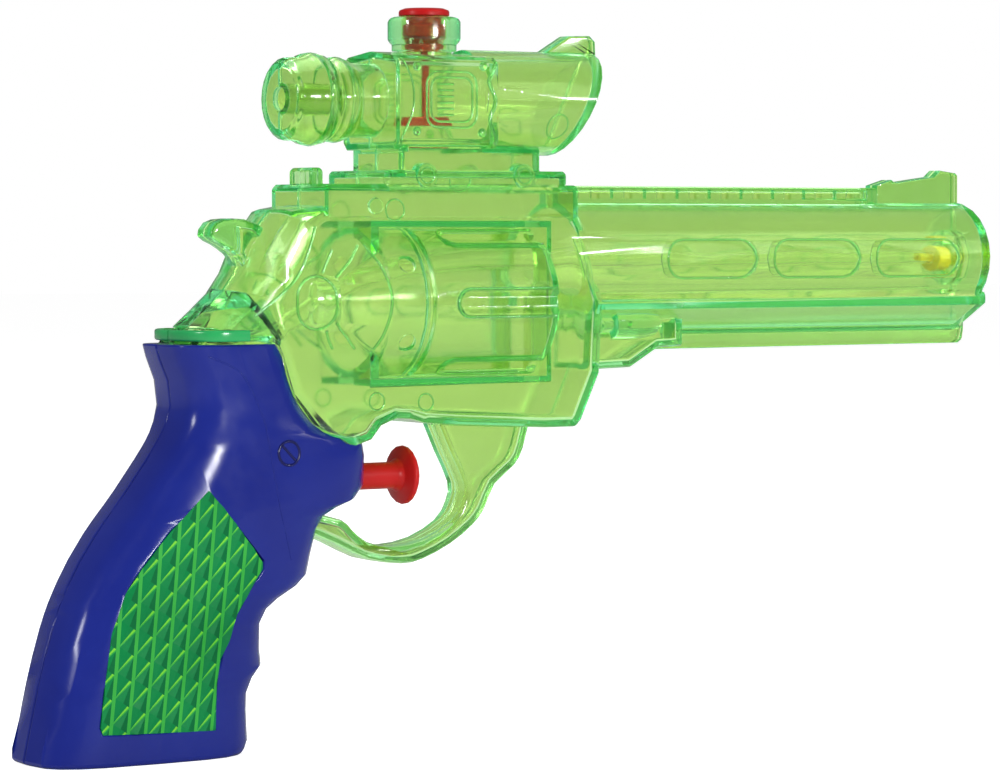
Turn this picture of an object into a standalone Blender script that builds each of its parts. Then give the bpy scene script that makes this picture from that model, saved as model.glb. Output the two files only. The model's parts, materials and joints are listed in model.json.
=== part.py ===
"""Toy water pistol shaped like a scoped revolver, as an assembly of moulded pieces and a hand pump.

Values are in millimetres. X runs to the muzzle, Y to the gun's left and Z up from the flat butt.
Heights of the frame, barrel, scope and pump are given from the axis of the drum.
"""
import math

import bmesh
import bpy
from mathutils import Matrix, Vector

MM = 0.001
WELD = 0.002
FLAT_ANGLE = 0.4

# Walls and clearances
GAP = 0.3
SHELL_WALL = 1.6
COVER_WALL = 2.0
SEAM_GAP = 0.3

# Frame and drum
DRUM_Z = 107.0
FRAME_HALF = 13.5
FRAME_REAR_HALF = 5.5
FRAME_SHOULDER = 2.0
STRAP_TOP = 28.8
STRAP_HALF = 13.7
STRAP_REAR_X = -63.2
STRAP_FRONT_X = 10.0
DRUM_R = 18.9
DRUM_FRONT_X = 1.0
DRUM_LENGTH = 36.8
FLUTES = 6
FLUTE_R = 3.9
FLUTE_DEPTH = 2.0
FLUTE_LENGTH = 30.0
BAND_LENGTH = 11.0
NOTCH_R = 2.3
NOTCH_DEPTH = 0.8
CONE_LENGTH = 10.3
DRUM_WINDOW_HALF = 18.4
DRUM_WINDOW_FLOOR = 5.0
DRUM_SEAT = 0.6
HUB_R = 15.2
HUB_LENGTH = 10.7
HAMMER_HALF = 4.2
TANG_HALF = 14.6
TANG_REAR_X = -93.8
TANG_THICK = 2.8
TANG_LENGTH = 16.0
STUD_R = 2.0

# Barrel, rail and front sight
BARREL_H = 10.4
BARREL_R = 14.75
BARREL_ROOT_X = 4.0
BARREL_ROOT_SLANT = 0.37
MUZZLE_X = 142.4
MUZZLE_ROUND = 2.0
MUZZLE_WALL = 3.0
MUZZLE_BORE_R = 5.6
MUZZLE_BORE_DEPTH = 4.0
LUG_HALF = 12.7
LUG_TOP = -10.2
LUG_BOTTOM = -23.1
LUG_RIB_HALF = 2.4
RAIL_HALF = 4.2
RAIL_POCKETS = 9
RAIL_POCKET_LENGTH = 6.6
RAIL_POCKET_DEPTH = 1.3
RAIL_POCKET_HEIGHT = 2.4
RAIL_WALL = 1.3
SLOTS = 3
SLOT_LENGTH = 27.0
SLOT_HEIGHT = 8.9
SLOT_PITCH = 33.4
SLOT_DEPTH = 0.9
SLOT_FRONT_MARGIN = 12.0
SIGHT_HALF = 2.6
SIGHT_LENGTH = 27.6
SIGHT_SETBACK = 2.4
SIGHT_HEIGHT = 4.1

# Ejector housing under the barrel
SHROUD_HALF = 8.0
SHROUD_H = -6.0
EJECTOR_R = 1.9
EJECTOR_TIP_R = 3.7
EJECTOR_LENGTH = 17.0
EJECTOR_TIP_LENGTH = 16.0

# Scope, its mount and its filler
SCOPE_H = 49.3
EYE_R = 10.2
EYE_REAR_X = -68.4
EYE_HOLE_R = 2.8
EYE_HOLE_DEPTH = 14.0
EYE_HOLE_WALL = 1.0
RING_R = 11.4
TUBE_R = 9.1
BLOCK_REAR_X = -43.0
BLOCK_FRONT_X = -13.7
BLOCK_HALF = 12.6
BLOCK_HEIGHT = 24.0
HOOD_R = 13.0
HOOD_FRONT_X = 9.2
HOOD_SLANT = 0.47
FIN_HALF = 2.5
BASE_HEIGHT = 3.4
BASE_HALF = 14.0
BASE_REAR_X = -46.8
BASE_FRONT_X = 6.0
RISER_HALF = 11.3
RISER_REAR_X = -41.2
RISER_FRONT_X = -0.3
RISER_SINK = 1.0
KNOB_R = 3.0
KNOB_XS = (-35.4, -7.2)
KNOB_REACH = 3.4
REAR_SIGHT_HALF = 5.5
REAR_SIGHT_SETBACK = 0.4
REAR_SIGHT_LENGTH = 3.8
REAR_SIGHT_HEIGHT = 4.0
FILLER_X = -27.3
COLLAR_R = 9.0
COLLAR_HEIGHT = 6.8
COLLAR_LIFT = 1.9
NECK_R = 8.0
NECK_DEPTH = 3.4
FILLER_BORE_R = 5.6
PLUG_CAP_R = 6.25
PLUG_CAP_HEIGHT = 2.1
PLUG_R = 5.3
PLUG_DEPTH = 8.3
LEASH_WIDTH = 1.8
LEASH_THICK = 1.0
LEASH_LENGTH = 18.5
ANCHOR_SPAN = 15.0
ANCHOR_HEIGHT = 2.2

# Trigger guard
GUARD_HALF = 5.0

# Grip
GRIP_TOP = -9.0
GRIP_HALF_TOP = 13.6
GRIP_HALF_BUTT = 15.4
GRIP_ROUND = 3.4
GRIP_STEPS = 20
GRIP_INNER_STEPS = 10
BRIDGE_LOW = -30.7
BUTT_ROUND = 1.6
BUTT_REAR_X = -137.4
PAD_DEPTH = 0.5

# Hand pump
PUMP_H = -42.5
SNOUT_X = -48.4
ROD_R = 3.3
HEAD_R = 7.25
HEAD_THICK = 3.6
TRIGGER_TRAVEL = 12.0
TRIGGER_CLEAR = 1.0
GUIDE_LENGTH = 4.4
GUIDE_LIP = 2.4
PUMP_FRONT_X = -57.5
PUMP_LENGTH = 28.7
PUMP_R = 5.2
PUMP_BORE_R = 4.0
PUMP_END_WALL = 1.7
PISTON_LENGTH = 4.0
PISTON_CORE_R = 1.9
SPRING_WIRE_R = 0.3
SPRING_R = 2.9
SPRING_COILS = 6
SEAL_R = 0.4
VALVE_R = 4.2
VALVE_CHAMBER_R = 2.4
VALVE_NECK_R = 1.2
BALL_R = 2.0
BALL_LIFT = 1.2
SPIGOT_R = 1.7
SPIGOT_BORE_R = 0.9
SPIGOT_LENGTH = 4.5
TUBE_WALL = 0.7
PICKUP_DROP = 44.0
NOZZLE_R = 2.65
NOZZLE_BORE_R = 0.6
NOZZLE_LENGTH = 13.0
NOZZLE_FLANGE_R = 4.6


# Scene helpers

def clear_scene():
    for old in list(bpy.data.objects):
        bpy.data.objects.remove(old, do_unlink=True)


def new_collection(name):
    made = bpy.data.collections.new(name)
    bpy.context.scene.collection.children.link(made)
    return made


def material(name, color, roughness, metallic=0.0, transmission=0.0):
    made = bpy.data.materials.new(name)
    made.use_nodes = True
    shader = made.node_tree.nodes["Principled BSDF"]
    shader.inputs["Base Color"].default_value = (*color, 1.0)
    shader.inputs["Roughness"].default_value = roughness
    shader.inputs["Metallic"].default_value = metallic
    shader.inputs["Transmission Weight"].default_value = transmission
    return made


def mesh_object(name, bm):
    """Object from a bmesh, with its faces pointing out; solids stay in millimetres until the end."""
    bmesh.ops.recalc_face_normals(bm, faces=bm.faces)
    mesh = bpy.data.meshes.new(name)
    bm.to_mesh(mesh)
    bm.free()
    made = bpy.data.objects.new(name, mesh)
    TOOLS.objects.link(made)
    return made


def bake(target):
    """Replace an object's data by its evaluated mesh and weld it."""
    bpy.context.view_layer.update()
    graph = bpy.context.evaluated_depsgraph_get()
    mesh = bpy.data.meshes.new_from_object(target.evaluated_get(graph))
    bm = bmesh.new()
    bm.from_mesh(mesh)
    bmesh.ops.remove_doubles(bm, verts=bm.verts, dist=WELD)
    bmesh.ops.dissolve_degenerate(bm, edges=bm.edges, dist=WELD)
    bm.to_mesh(mesh)
    bm.free()
    target.modifiers.clear()
    target.data = mesh
    return target


def combine(target, tools, operation, solver="EXACT"):
    """Apply one Boolean for each tool, in order, and remove the tools; the body's last cuts need MANIFOLD."""
    for tool in tools:
        step = target.modifiers.new(tool.name, "BOOLEAN")
        step.operation = operation
        step.solver = solver
        step.object = tool
    bake(target)
    for tool in tools:
        bpy.data.objects.remove(tool, do_unlink=True)
    return target


def join(target, tools):
    return combine(target, tools, "UNION")


def cut(target, tools):
    return combine(target, tools, "DIFFERENCE")


def keep(target, tools):
    return combine(target, tools, "INTERSECT")


def copy_of(source, name):
    made = source.copy()
    made.data = source.data.copy()
    made.name = name
    TOOLS.objects.link(made)
    return made


# Shape helpers

def box(name, low, high, bevel=0.0):
    bm = bmesh.new()
    bmesh.ops.create_cube(bm, size=1.0)
    size = Vector(high) - Vector(low)
    middle = (Vector(high) + Vector(low)) / 2
    bmesh.ops.transform(bm, matrix=Matrix.Translation(middle) @ Matrix.Diagonal((*size, 1.0)),
                        verts=bm.verts)
    if bevel:
        bmesh.ops.bevel(bm, geom=bm.edges[:], offset=bevel, segments=1, profile=0.5, affect="EDGES")
    return mesh_object(name, bm)


def rod(name, start, end, radius, steps=24):
    """Round bar between two points."""
    start, end = Vector(start), Vector(end)
    bm = bmesh.new()
    bmesh.ops.create_cone(bm, cap_ends=True, segments=steps, radius1=radius, radius2=radius,
                          depth=(end - start).length)
    turn = (end - start).to_track_quat("Z", "Y").to_matrix().to_4x4()
    bmesh.ops.transform(bm, matrix=Matrix.Translation((start + end) / 2) @ turn, verts=bm.verts)
    return mesh_object(name, bm)


def turned(name, profile, axis, centre=(0.0, 0.0, 0.0), steps=32):
    """Solid of revolution: profile points are (place along the axis, radius)."""
    places = [(along, 0.0, radius) if axis == "X" else (radius, 0.0, along) for along, radius in profile]
    mesh = bpy.data.meshes.new(name)
    mesh.from_pydata(places, [], [])
    closed = profile[0][1] > 0.0
    count = len(places)
    mesh.edges.add(count if closed else count - 1)
    for index, edge in enumerate(mesh.edges):
        edge.vertices = (index, (index + 1) % count)
    made = bpy.data.objects.new(name, mesh)
    TOOLS.objects.link(made)
    spin = made.modifiers.new("turn", "SCREW")
    spin.axis = axis
    spin.steps = steps
    spin.render_steps = steps
    spin.use_merge_vertices = True
    spin.merge_threshold = 1e-4
    bake(made)
    made.data.transform(Matrix.Translation(centre))
    bm = bmesh.new()
    bm.from_mesh(made.data)
    bmesh.ops.recalc_face_normals(bm, faces=bm.faces)
    bm.to_mesh(made.data)
    bm.free()
    return made


def loft(name, rings):
    """Closed solid through rings with equally many points, capped at both ends."""
    bm = bmesh.new()
    grid = [[bm.verts.new(point) for point in ring] for ring in rings]
    for lower, upper in zip(grid, grid[1:]):
        for i in range(len(lower)):
            j = (i + 1) % len(lower)
            bm.faces.new((lower[i], lower[j], upper[j], upper[i]))
    bm.faces.new(grid[0][::-1])
    bm.faces.new(grid[-1])
    return mesh_object(name, bm)


def inward(points):
    """Unit normals that point into a closed outline of (x, z) points."""
    count = len(points)
    area = sum(points[i][0] * points[(i + 1) % count][1] - points[(i + 1) % count][0] * points[i][1]
               for i in range(count))
    side = 1.0 if area > 0 else -1.0
    normals = []
    for i in range(count):
        before, here, after = (Vector(points[k % count]) for k in (i - 1, i, i + 1))
        first, second = (here - before).normalized(), (after - here).normalized()
        bisector = Vector((-first.y - second.y, first.x + second.x)) * side
        bisector.normalize()
        slope = max(0.5, bisector.dot(Vector((-first.y, first.x)) * side))
        normals.append(bisector / slope)
    return normals


def inset(points, distance):
    """Outline moved into itself by one distance, or by one distance for each point."""
    steps = distance if isinstance(distance, (list, tuple)) else [distance] * len(points)
    return [(p[0] + n.x * d, p[1] + n.y * d) for p, n, d in zip(points, inward(points), steps)]


def smooth(points, cuts, closed=False):
    """Catmull-Rom curve through points, with a number of cuts in each span."""
    count = len(points)
    spans = count if closed else count - 1
    curve = []
    for i in range(spans):
        if closed:
            p0, p1, p2, p3 = (Vector(points[k % count]) for k in (i - 1, i, i + 1, i + 2))
        else:
            p0, p1, p2, p3 = (Vector(points[min(max(k, 0), count - 1)]) for k in (i - 1, i, i + 1, i + 2))
        for step in range(cuts):
            t = step / cuts
            curve.append(tuple(0.5 * (2 * p1 + (p2 - p0) * t + (2 * p0 - 5 * p1 + 4 * p2 - p3) * t * t
                                      + (3 * p1 - p0 - 3 * p2 + p3) * t ** 3)))
    if not closed:
        curve.append(tuple(points[-1]))
    return curve


def plate(name, outline, half, shoulder, rounds=2):
    """Plate across Y whose edges round over a shoulder of one width."""
    inner = inset(outline, shoulder)
    return tapered_plate(name, outline, inner, half, [half - shoulder] * len(outline), rounds)


def tapered_plate(name, outline, inner, half, edges, rounds):
    """Plate across Y that rounds from an outline, with its own half width at each point, to its flat side."""
    rings = []
    for step in range(rounds + 1):
        angle = math.pi / 2 * step / rounds
        rise, run = math.sin(angle), 1 - math.cos(angle)
        ring = []
        for (ax, ah), (bx, bh), edge in zip(outline, inner, edges):
            ring.append((ax + (bx - ax) * run, edge + (half - edge) * rise, DRUM_Z + ah + (bh - ah) * run))
        rings.append(ring)
    mirrored = [[(x, -y, z) for x, y, z in ring] for ring in reversed(rings)]
    return loft(name, mirrored + rings)


def arc(centre, radius, start, end, steps):
    """Points on an arc, angles in degrees."""
    return [(centre[0] + radius * math.cos(math.radians(start + (end - start) * k / steps)),
             centre[1] + radius * math.sin(math.radians(start + (end - start) * k / steps)))
            for k in range(steps + 1)]


def wire(name, points, radius, resolution):
    """Round tube or wire along points, as a closed mesh."""
    data = bpy.data.curves.new(name, "CURVE")
    data.dimensions = "3D"
    spline = data.splines.new("POLY")
    spline.points.add(len(points) - 1)
    for place, point in zip(spline.points, points):
        place.co = (*point, 1.0)
    data.bevel_depth = radius
    data.bevel_resolution = resolution
    data.use_fill_caps = True
    curve = bpy.data.objects.new(name + "_path", data)
    TOOLS.objects.link(curve)
    bpy.context.view_layer.update()
    mesh = bpy.data.meshes.new_from_object(curve.evaluated_get(bpy.context.evaluated_depsgraph_get()))
    bm = bmesh.new()
    bm.from_mesh(mesh)
    bmesh.ops.remove_doubles(bm, verts=bm.verts, dist=WELD)
    bmesh.ops.recalc_face_normals(bm, faces=bm.faces)
    bm.to_mesh(mesh)
    bm.free()
    made = bpy.data.objects.new(name, mesh)
    TOOLS.objects.link(made)
    bpy.data.objects.remove(curve, do_unlink=True)
    return made


# Grip form, shared by the covers, the core inside them and its hollow

GRIP_BACK = [(-103.0, -10.2), (-100.0, -15.0), (-98.2, -22.9), (-100.6, -30.3), (-109.4, -42.7),
             (-120.2, -56.3), (-127.5, -69.3), (-132.7, -85.1), (-136.6, -102.7)]
GRIP_FRONT = [(-81.2, -104.0), (-81.6, -93.2), (-79.9, -89.0), (-77.2, -85.6), (-78.0, -81.5),
              (-77.6, -75.2), (-74.0, -71.0), (-66.6, -67.0), (-64.2, -63.8), (-63.6, -60.0),
              (-61.5, -53.0), (-57.9, -49.8), (-50.8, -47.2), (SNOUT_X - 0.3, -44.6), (SNOUT_X, -39.5),
              (SNOUT_X, -34.8), (-50.8, -32.4), (-56.4, -31.0), (-61.4, -29.7), (-67.0, -24.6),
              (-70.2, -17.6), (-71.3, -11.1)]
GRIP_LEVELS = [-96.5, -92.5, -89.0, -86.0, -82.0, -76.0, -72.5, -70.0, -67.5, -65.0, -60.0, -54.0, -51.0,
               -49.0, -47.4, -44.0, -37.0, -34.0, -32.2, -30.6, -28.0, -24.0, -18.0, -12.5]


def grip_outline():
    """Closed outline of the grip from the side, as (x, height) points."""
    butt = -DRUM_Z
    back = smooth(GRIP_BACK + [(BUTT_REAR_X - 0.2, butt + 1.2)], 4)
    front = smooth([(-82.0, butt + 1.0)] + GRIP_FRONT, 3)
    top = [(-73.0, GRIP_TOP), (-102.0, GRIP_TOP)]
    return back + [(BUTT_REAR_X + 0.4, butt), (-82.6, butt)] + front + top


def depth_inside(point, outline):
    """Least distance from a point to an outline."""
    least = 1e9
    px, pz = point
    for (ax, az), (bx, bz) in zip(outline, outline[1:] + outline[:1]):
        dx, dz = bx - ax, bz - az
        span = dx * dx + dz * dz
        t = 0.0 if span == 0.0 else max(0.0, min(1.0, ((px - ax) * dx + (pz - az) * dz) / span))
        least = min(least, (px - ax - t * dx) ** 2 + (pz - az - t * dz) ** 2)
    return math.sqrt(least)


def crossings(outline, level):
    places = []
    for (ax, az), (bx, bz) in zip(outline, outline[1:] + outline[:1]):
        if (az < level) != (bz < level):
            places.append(ax + (bx - ax) * (level - az) / (bz - az))
    return min(places), max(places)


def grip_edges(outline, level, depth):
    """Back and front of the grip at one level, set in by a depth along the surface normal."""
    back, front = crossings(outline, level)
    if depth <= 0.0:
        return back + depth, front - depth
    middle = back + 0.42 * (front - back)
    ends = []
    for end in (back, front):
        far, near = end, middle
        for _ in range(18):
            probe = (far + near) / 2
            if depth_inside((probe, level), outline) < depth:
                far = probe
            else:
                near = probe
        ends.append(near)
    return ends


def grip_half_at(level):
    """Half width of the grip, fuller at the palm than at the top."""
    share = (GRIP_TOP - level) / (GRIP_TOP + DRUM_Z)
    swell = math.sin(math.pi * min(1.0, max(0.0, share)))
    return GRIP_HALF_TOP + (GRIP_HALF_BUTT - GRIP_HALF_TOP) * share + 0.8 * swell


def grip_solid(name, depth, bridge=0.0, rise=0.0, steps=GRIP_INNER_STEPS):
    """Grip form set in by a depth; a bridge reaches forward into the frame and a rise upward."""
    outline = grip_outline()
    butt = -DRUM_Z
    floor = max(depth, 0.0) if depth >= 0.0 else depth
    levels = [butt + floor, butt + floor + BUTT_ROUND / 2, butt + floor + 2 * BUTT_ROUND]
    levels += [level for level in GRIP_LEVELS if level > butt + floor + 3 * BUTT_ROUND]
    levels.append(GRIP_TOP - max(depth, GAP) if rise == 0.0 else GRIP_TOP - 3 * GAP)
    lowest, highest = butt + max(depth, 0.0) + 0.06, GRIP_TOP - max(depth, 0.0) - 0.06
    rings = []
    for place, level in enumerate(levels):
        back, front = grip_edges(outline, min(max(level, lowest), highest), depth)
        half = grip_half_at(level) - depth
        if place == 0:
            back, front, half = back + BUTT_ROUND / 2, front - BUTT_ROUND / 2, half - BUTT_ROUND / 2
        if bridge and level > BRIDGE_LOW:
            front += bridge
        rings.append(grip_ring(back, front, half, level, steps))
    if rise:
        back, front = grip_edges(outline, highest, depth)
        rings.append(grip_ring(back + rise, front + bridge, half - rise / 2, GRIP_TOP + rise, steps))
    return loft(name, rings)


def grip_ring(back, front, half, level, steps):
    """Rounded cross-section of the grip at one level: a superellipse."""
    middle, reach = (back + front) / 2, (front - back) / 2
    power = 2 / GRIP_ROUND
    ring = []
    for k in range(steps):
        along = math.cos(2 * math.pi * k / steps)
        across = math.sin(2 * math.pi * k / steps)
        ring.append((middle + reach * math.copysign(abs(along) ** power, along),
                     half * math.copysign(abs(across) ** power, across), DRUM_Z + level))
    return ring


# Outlines of the frame, in (x, height from the drum axis)

FRAME_BACK = [(-94.0, -5.4), (-89.5, -1.6), (-84.6, 2.6), (-81.1, 7.4), (-78.6, 13.0), (-75.2, 18.0),
              (-71.2, 22.7)]
FRAME_CREASE = [(-84.0, -6.4), (-81.0, -4.0), (-76.6, 0.6), (-72.6, 6.0), (-69.6, 11.6), (-68.0, 15.4),
                (-67.0, 18.8)]
FRAME_FRONT = [(9.0, 23.5), (12.6, 18.0), (17.6, 0.0), (16.6, -18.0), (11.2, -29.6), (9.6, -31.3)]
FRAME_UNDER = [(0.4, -31.3), (-25.5, -30.0), (-34.6, -29.3), (-38.8, -28.2), (-42.8, -28.0), (-47.2, -29.7),
               (-50.0, -33.0), (-60.0, -36.0), (-72.0, -22.0), (-76.0, -10.0)]
HAMMER = [(-89.3, 16.2), (-87.8, 19.5), (-83.0, 20.5), (-76.5, 19.4), (-70.0, 14.0), (-72.0, 2.0),
          (-78.8, 6.0), (-80.4, 9.2), (-82.4, 12.0), (-86.0, 14.3)]
GUARD_INNER = [(-25.5, -30.0), (-22.1, -37.3), (-18.3, -45.0), (-18.9, -49.6), (-22.1, -54.1),
               (-30.1, -58.2), (-39.1, -59.6), (-46.1, -58.3), (-50.3, -55.2), (-53.4, -52.6), (-62.0, -50.5)]
GUARD_OUTER = [(-66.0, -54.0), (-55.0, -58.5), (-46.2, -62.5), (-36.3, -64.1), (-30.1, -63.2),
               (-22.1, -59.8), (-15.8, -55.6), (-12.3, -51.7), (-9.2, -45.6), (-3.4, -41.1), (-0.7, -36.7),
               (1.3, -29.0)]
FIN = [(4.0, 60.0), (7.0, 62.2), (14.1, 66.4), (20.6, 66.6), (22.2, 65.2), (22.4, 61.6), (18.0, 57.0)]
WINDOW = [(-95.8, -43.4), (-89.9, -50.2), (-81.6, -60.9), (-81.6, -62.6), (-84.8, -67.0), (-88.5, -72.8),
          (-90.7, -78.8), (-93.1, -83.2), (-94.1, -89.2), (-94.4, -100.0), (-124.0, -99.2), (-124.6, -97.4),
          (-123.2, -86.9), (-121.4, -75.8), (-117.7, -66.9), (-113.3, -61.1), (-106.1, -52.9)]


def frame_plate(name, depth):
    """Revolver frame: a thick plate whose back narrows from a crease on each side."""
    skip = 2 if depth else 0
    back = FRAME_BACK[skip:]
    crease = FRAME_CREASE[skip:]
    rest = [(STRAP_REAR_X, 23.5)] + FRAME_FRONT + FRAME_UNDER
    outline = inset(back + rest, depth)
    inner = inset(crease + inset(back + rest, FRAME_SHOULDER)[len(back):], depth)
    edges = [FRAME_REAR_HALF - depth] * len(back) + [FRAME_HALF - FRAME_SHOULDER - depth] * len(rest)
    form = tapered_plate(name, outline, inner, FRAME_HALF - depth, edges, 3)
    return cut(form, both_sides(lambda side: drum_window(side, depth)))


def drum_window(side, depth):
    """Opening of the frame beside the drum, grown by a depth for the wall round it."""
    reach = DRUM_WINDOW_HALF + depth
    floor, outside = sorted((side * (DRUM_WINDOW_FLOOR - depth), side * 2 * FRAME_HALF))
    return box("drum_window", (drum_stations()[1] - depth, floor, DRUM_Z - reach),
               (DRUM_FRONT_X - DRUM_SEAT + depth, outside, DRUM_Z + reach))


def drum_stations():
    """Places along the axis where the drum, its rear band, the recoil cone and the hub begin."""
    rear = DRUM_FRONT_X - DRUM_LENGTH
    band = rear - BAND_LENGTH - 1.8
    cone = band - CONE_LENGTH - 0.6
    return rear, band, cone, cone - HUB_LENGTH


def drum_profile():
    """Profile of the hub, recoil cone, rim band and drum along their common axis."""
    rear, band, cone, hub = drum_stations()
    front = DRUM_FRONT_X
    back = [(hub, 0.0), (hub, HUB_R - 4.2), (hub + 1.2, HUB_R - 1.9), (hub + 3.6, HUB_R - 0.5)]
    back += [(hub + 6.4, HUB_R), (cone - 0.3, HUB_R - 0.2)]
    recoil = [(cone, HUB_R - 1.0), (band, DRUM_R - 0.5), (band + 0.6, DRUM_R + 0.1)]
    groove = [(rear - 1.5, DRUM_R + 0.3), (rear - 1.0, DRUM_R - 1.1), (rear - 0.2, DRUM_R - 1.1)]
    drum = [(rear + 0.5, DRUM_R), (front - 1.0, DRUM_R), (front, DRUM_R - 1.0), (front, 0.0)]
    return back + recoil + groove + drum


def drum_hollow_profile():
    """Plainer profile, one wall inside the drum."""
    rear, band, cone, hub = drum_stations()
    front = DRUM_FRONT_X - SHELL_WALL
    inner = DRUM_R - SHELL_WALL
    hub_inner = HUB_R - SHELL_WALL
    return [(hub + SHELL_WALL, 0.0), (hub + SHELL_WALL, hub_inner - 3.6), (hub + 4.8, hub_inner - 0.6),
            (cone, hub_inner - 1.0), (band + 1.0, inner), (rear - 2.0, inner), (rear - 1.0, inner - 1.1),
            (rear + 1.0, inner), (front, inner), (front, 0.0)]


def flute(index, grow):
    """Round-nosed bar along the drum's edge for one flute, grown for the wall under it."""
    turn = math.pi + 2 * math.pi * index / FLUTES
    away = DRUM_R + FLUTE_R - FLUTE_DEPTH
    centre = (0.0, away * math.cos(turn), DRUM_Z + away * math.sin(turn))
    start = DRUM_FRONT_X - FLUTE_LENGTH + FLUTE_R
    radius = FLUTE_R + grow
    nose = [(start - radius * math.cos(math.radians(a)), radius * math.sin(math.radians(a)))
            for a in (0, 30, 60, 90)]
    end = DRUM_FRONT_X + FLUTE_R
    return turned("flute_%d" % index, nose + [(end, radius), (end, 0.0)], "X", centre, 10)


def notch(index):
    """Stop notch in the drum's rear band, between two flutes."""
    turn = math.pi + 2 * math.pi * (index + 0.5) / FLUTES
    x = drum_stations()[0] - 1.0 - BAND_LENGTH / 2
    ends = []
    for reach in (DRUM_R - NOTCH_DEPTH, DRUM_R + 4):
        ends.append((x, reach * math.cos(turn), DRUM_Z + reach * math.sin(turn)))
    return rod("notch_%d" % index, ends[0], ends[1], NOTCH_R, 12)


def drum_cuts():
    """Flutes along the drum and stop notches in its rear band."""
    return [flute(k, 0.0) for k in range(FLUTES)] + [notch(k) for k in range(FLUTES)]


def barrel_section(depth):
    """Section of the barrel and its lug as a closed ring of (y, z); a depth gives the plainer hollow."""
    if depth:
        near = arc((0.0, 0.0), BARREL_R - depth, 90.0, -38.0, 9)
        near += [(LUG_HALF - depth - 0.3, LUG_TOP + 0.4 - 0.8 * depth), (2.0, LUG_BOTTOM + 5.2 + depth)]
    else:
        low = math.degrees(math.asin(LUG_TOP / BARREL_R)) + 1.0
        near = arc((0.0, 0.0), BARREL_R, 90.0, low, 9)
        near += [(LUG_HALF, LUG_TOP - 0.4), (LUG_HALF, LUG_TOP - 2.4), (3.2, LUG_BOTTOM + 5.0),
                 (LUG_RIB_HALF, LUG_BOTTOM + 3.6), (LUG_RIB_HALF, LUG_BOTTOM)]
    return near + [(-y, z) for y, z in reversed(near[1:])]


def barrel_solid(name, depth):
    """Barrel with a slanted root and a rounded muzzle; its hollow ends flat."""
    end = MUZZLE_X - MUZZLE_ROUND
    stations = [(None, 0.0), (end, 0.0), (end + MUZZLE_ROUND * 0.7, MUZZLE_ROUND * 0.3)]
    stations.append((MUZZLE_X, MUZZLE_ROUND))
    if depth:
        stations = [(None, 0.0), (MUZZLE_X - MUZZLE_WALL, 0.0)]
    rings = []
    for x, drop in stations:
        ring = []
        shrink = 1 - drop / BARREL_R
        for y, z in barrel_section(depth):
            y, z = y * shrink, z * shrink
            place = BARREL_ROOT_X - BARREL_ROOT_SLANT * (z - BARREL_R) + 2 * depth if x is None else x
            ring.append((place, y, DRUM_Z + BARREL_H + z))
        rings.append(ring)
    return loft(name, rings)


def slot_tool(name, index, side, depth, grow):
    """Stadium-shaped block for one of the recesses along the barrel's side."""
    middle = MUZZLE_X - SLOT_FRONT_MARGIN - SLOT_LENGTH / 2 - index * SLOT_PITCH
    radius = SLOT_HEIGHT / 2 + grow
    half = SLOT_LENGTH / 2 - SLOT_HEIGHT / 2
    outline = arc((middle + half, 0.0), radius, -90.0, 90.0, 6)
    outline += arc((middle - half, 0.0), radius, 90.0, 270.0, 6)
    rings = []
    for reach, draft in ((BARREL_R - depth, 0.0), (BARREL_R + 3.0, 0.8)):
        ring = inset(outline, -draft)
        rings.append([(x, side * reach, DRUM_Z + BARREL_H + z) for x, z in ring])
    return loft(name, rings)


def section_bar(name, section, start, end):
    """Bar along X with one closed section of (y, height) points."""
    return loft(name, [[(x, y, DRUM_Z + h) for y, h in section] for x in (start, end)])


def block_section(depth):
    """Section of the scope's square block, with a crowned top."""
    top = SCOPE_H + BLOCK_HEIGHT / 2
    low = SCOPE_H - BLOCK_HEIGHT / 2
    near = [(0.0, top), (BLOCK_HALF - 2.0, top - 1.2), (BLOCK_HALF, top - 2.8), (BLOCK_HALF, low + 1.8),
            (BLOCK_HALF - 1.6, low), (0.0, low)]
    ring = near + [(-y, h) for y, h in reversed(near[1:-1])]
    return inset(ring, depth) if depth else ring


def eyepiece_profile():
    """Profile of the eyepiece, its two grip rings and the tube to the block."""
    rear = EYE_REAR_X
    end = BLOCK_REAR_X + 6.0
    cup = [(rear, 0.0), (rear, EYE_R - 1.4), (rear + 1.2, EYE_R - 0.2), (rear + 4.8, EYE_R)]
    wide_ring = [(rear + 6.2, RING_R - 0.4), (rear + 8.4, RING_R), (rear + 11.0, RING_R - 0.6)]
    low_ring = [(rear + 12.4, EYE_R - 0.5), (rear + 13.4, EYE_R), (rear + 15.4, EYE_R + 0.3)]
    tube = [(rear + 17.4, EYE_R - 0.4), (rear + 18.8, TUBE_R), (end, TUBE_R), (end, 0.0)]
    return cup + wide_ring + low_ring + tube


def eyepiece_hollow_profile():
    """Plainer profile, one wall inside the eyepiece."""
    rear = EYE_REAR_X
    end = BLOCK_REAR_X + 4.0
    start = rear + SHELL_WALL
    inner = EYE_R - SHELL_WALL
    tube = TUBE_R - SHELL_WALL
    return [(start, 0.0), (start, inner - 1.0), (rear + 4.8, inner), (rear + 8.4, RING_R - SHELL_WALL),
            (rear + 12.4, inner - 0.5), (rear + 15.4, inner + 0.3), (rear + 18.8, tube), (end, tube),
            (end, 0.0)]


def scope_axis():
    return (0.0, 0.0, DRUM_Z + SCOPE_H)


def hood_solid(name, depth):
    """Lens hood: a round bar whose front is cut on a slant."""
    ring = arc((0.0, SCOPE_H), HOOD_R - depth, 0.0, 345.0, 23)
    front = []
    for y, h in ring:
        front.append((HOOD_FRONT_X + HOOD_SLANT * (h - SCOPE_H + HOOD_R) - depth * 1.3, y, DRUM_Z + h))
    rear = [(BLOCK_FRONT_X - 3.0, y, DRUM_Z + h) for y, h in ring]
    return loft(name, [rear, front])


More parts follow.
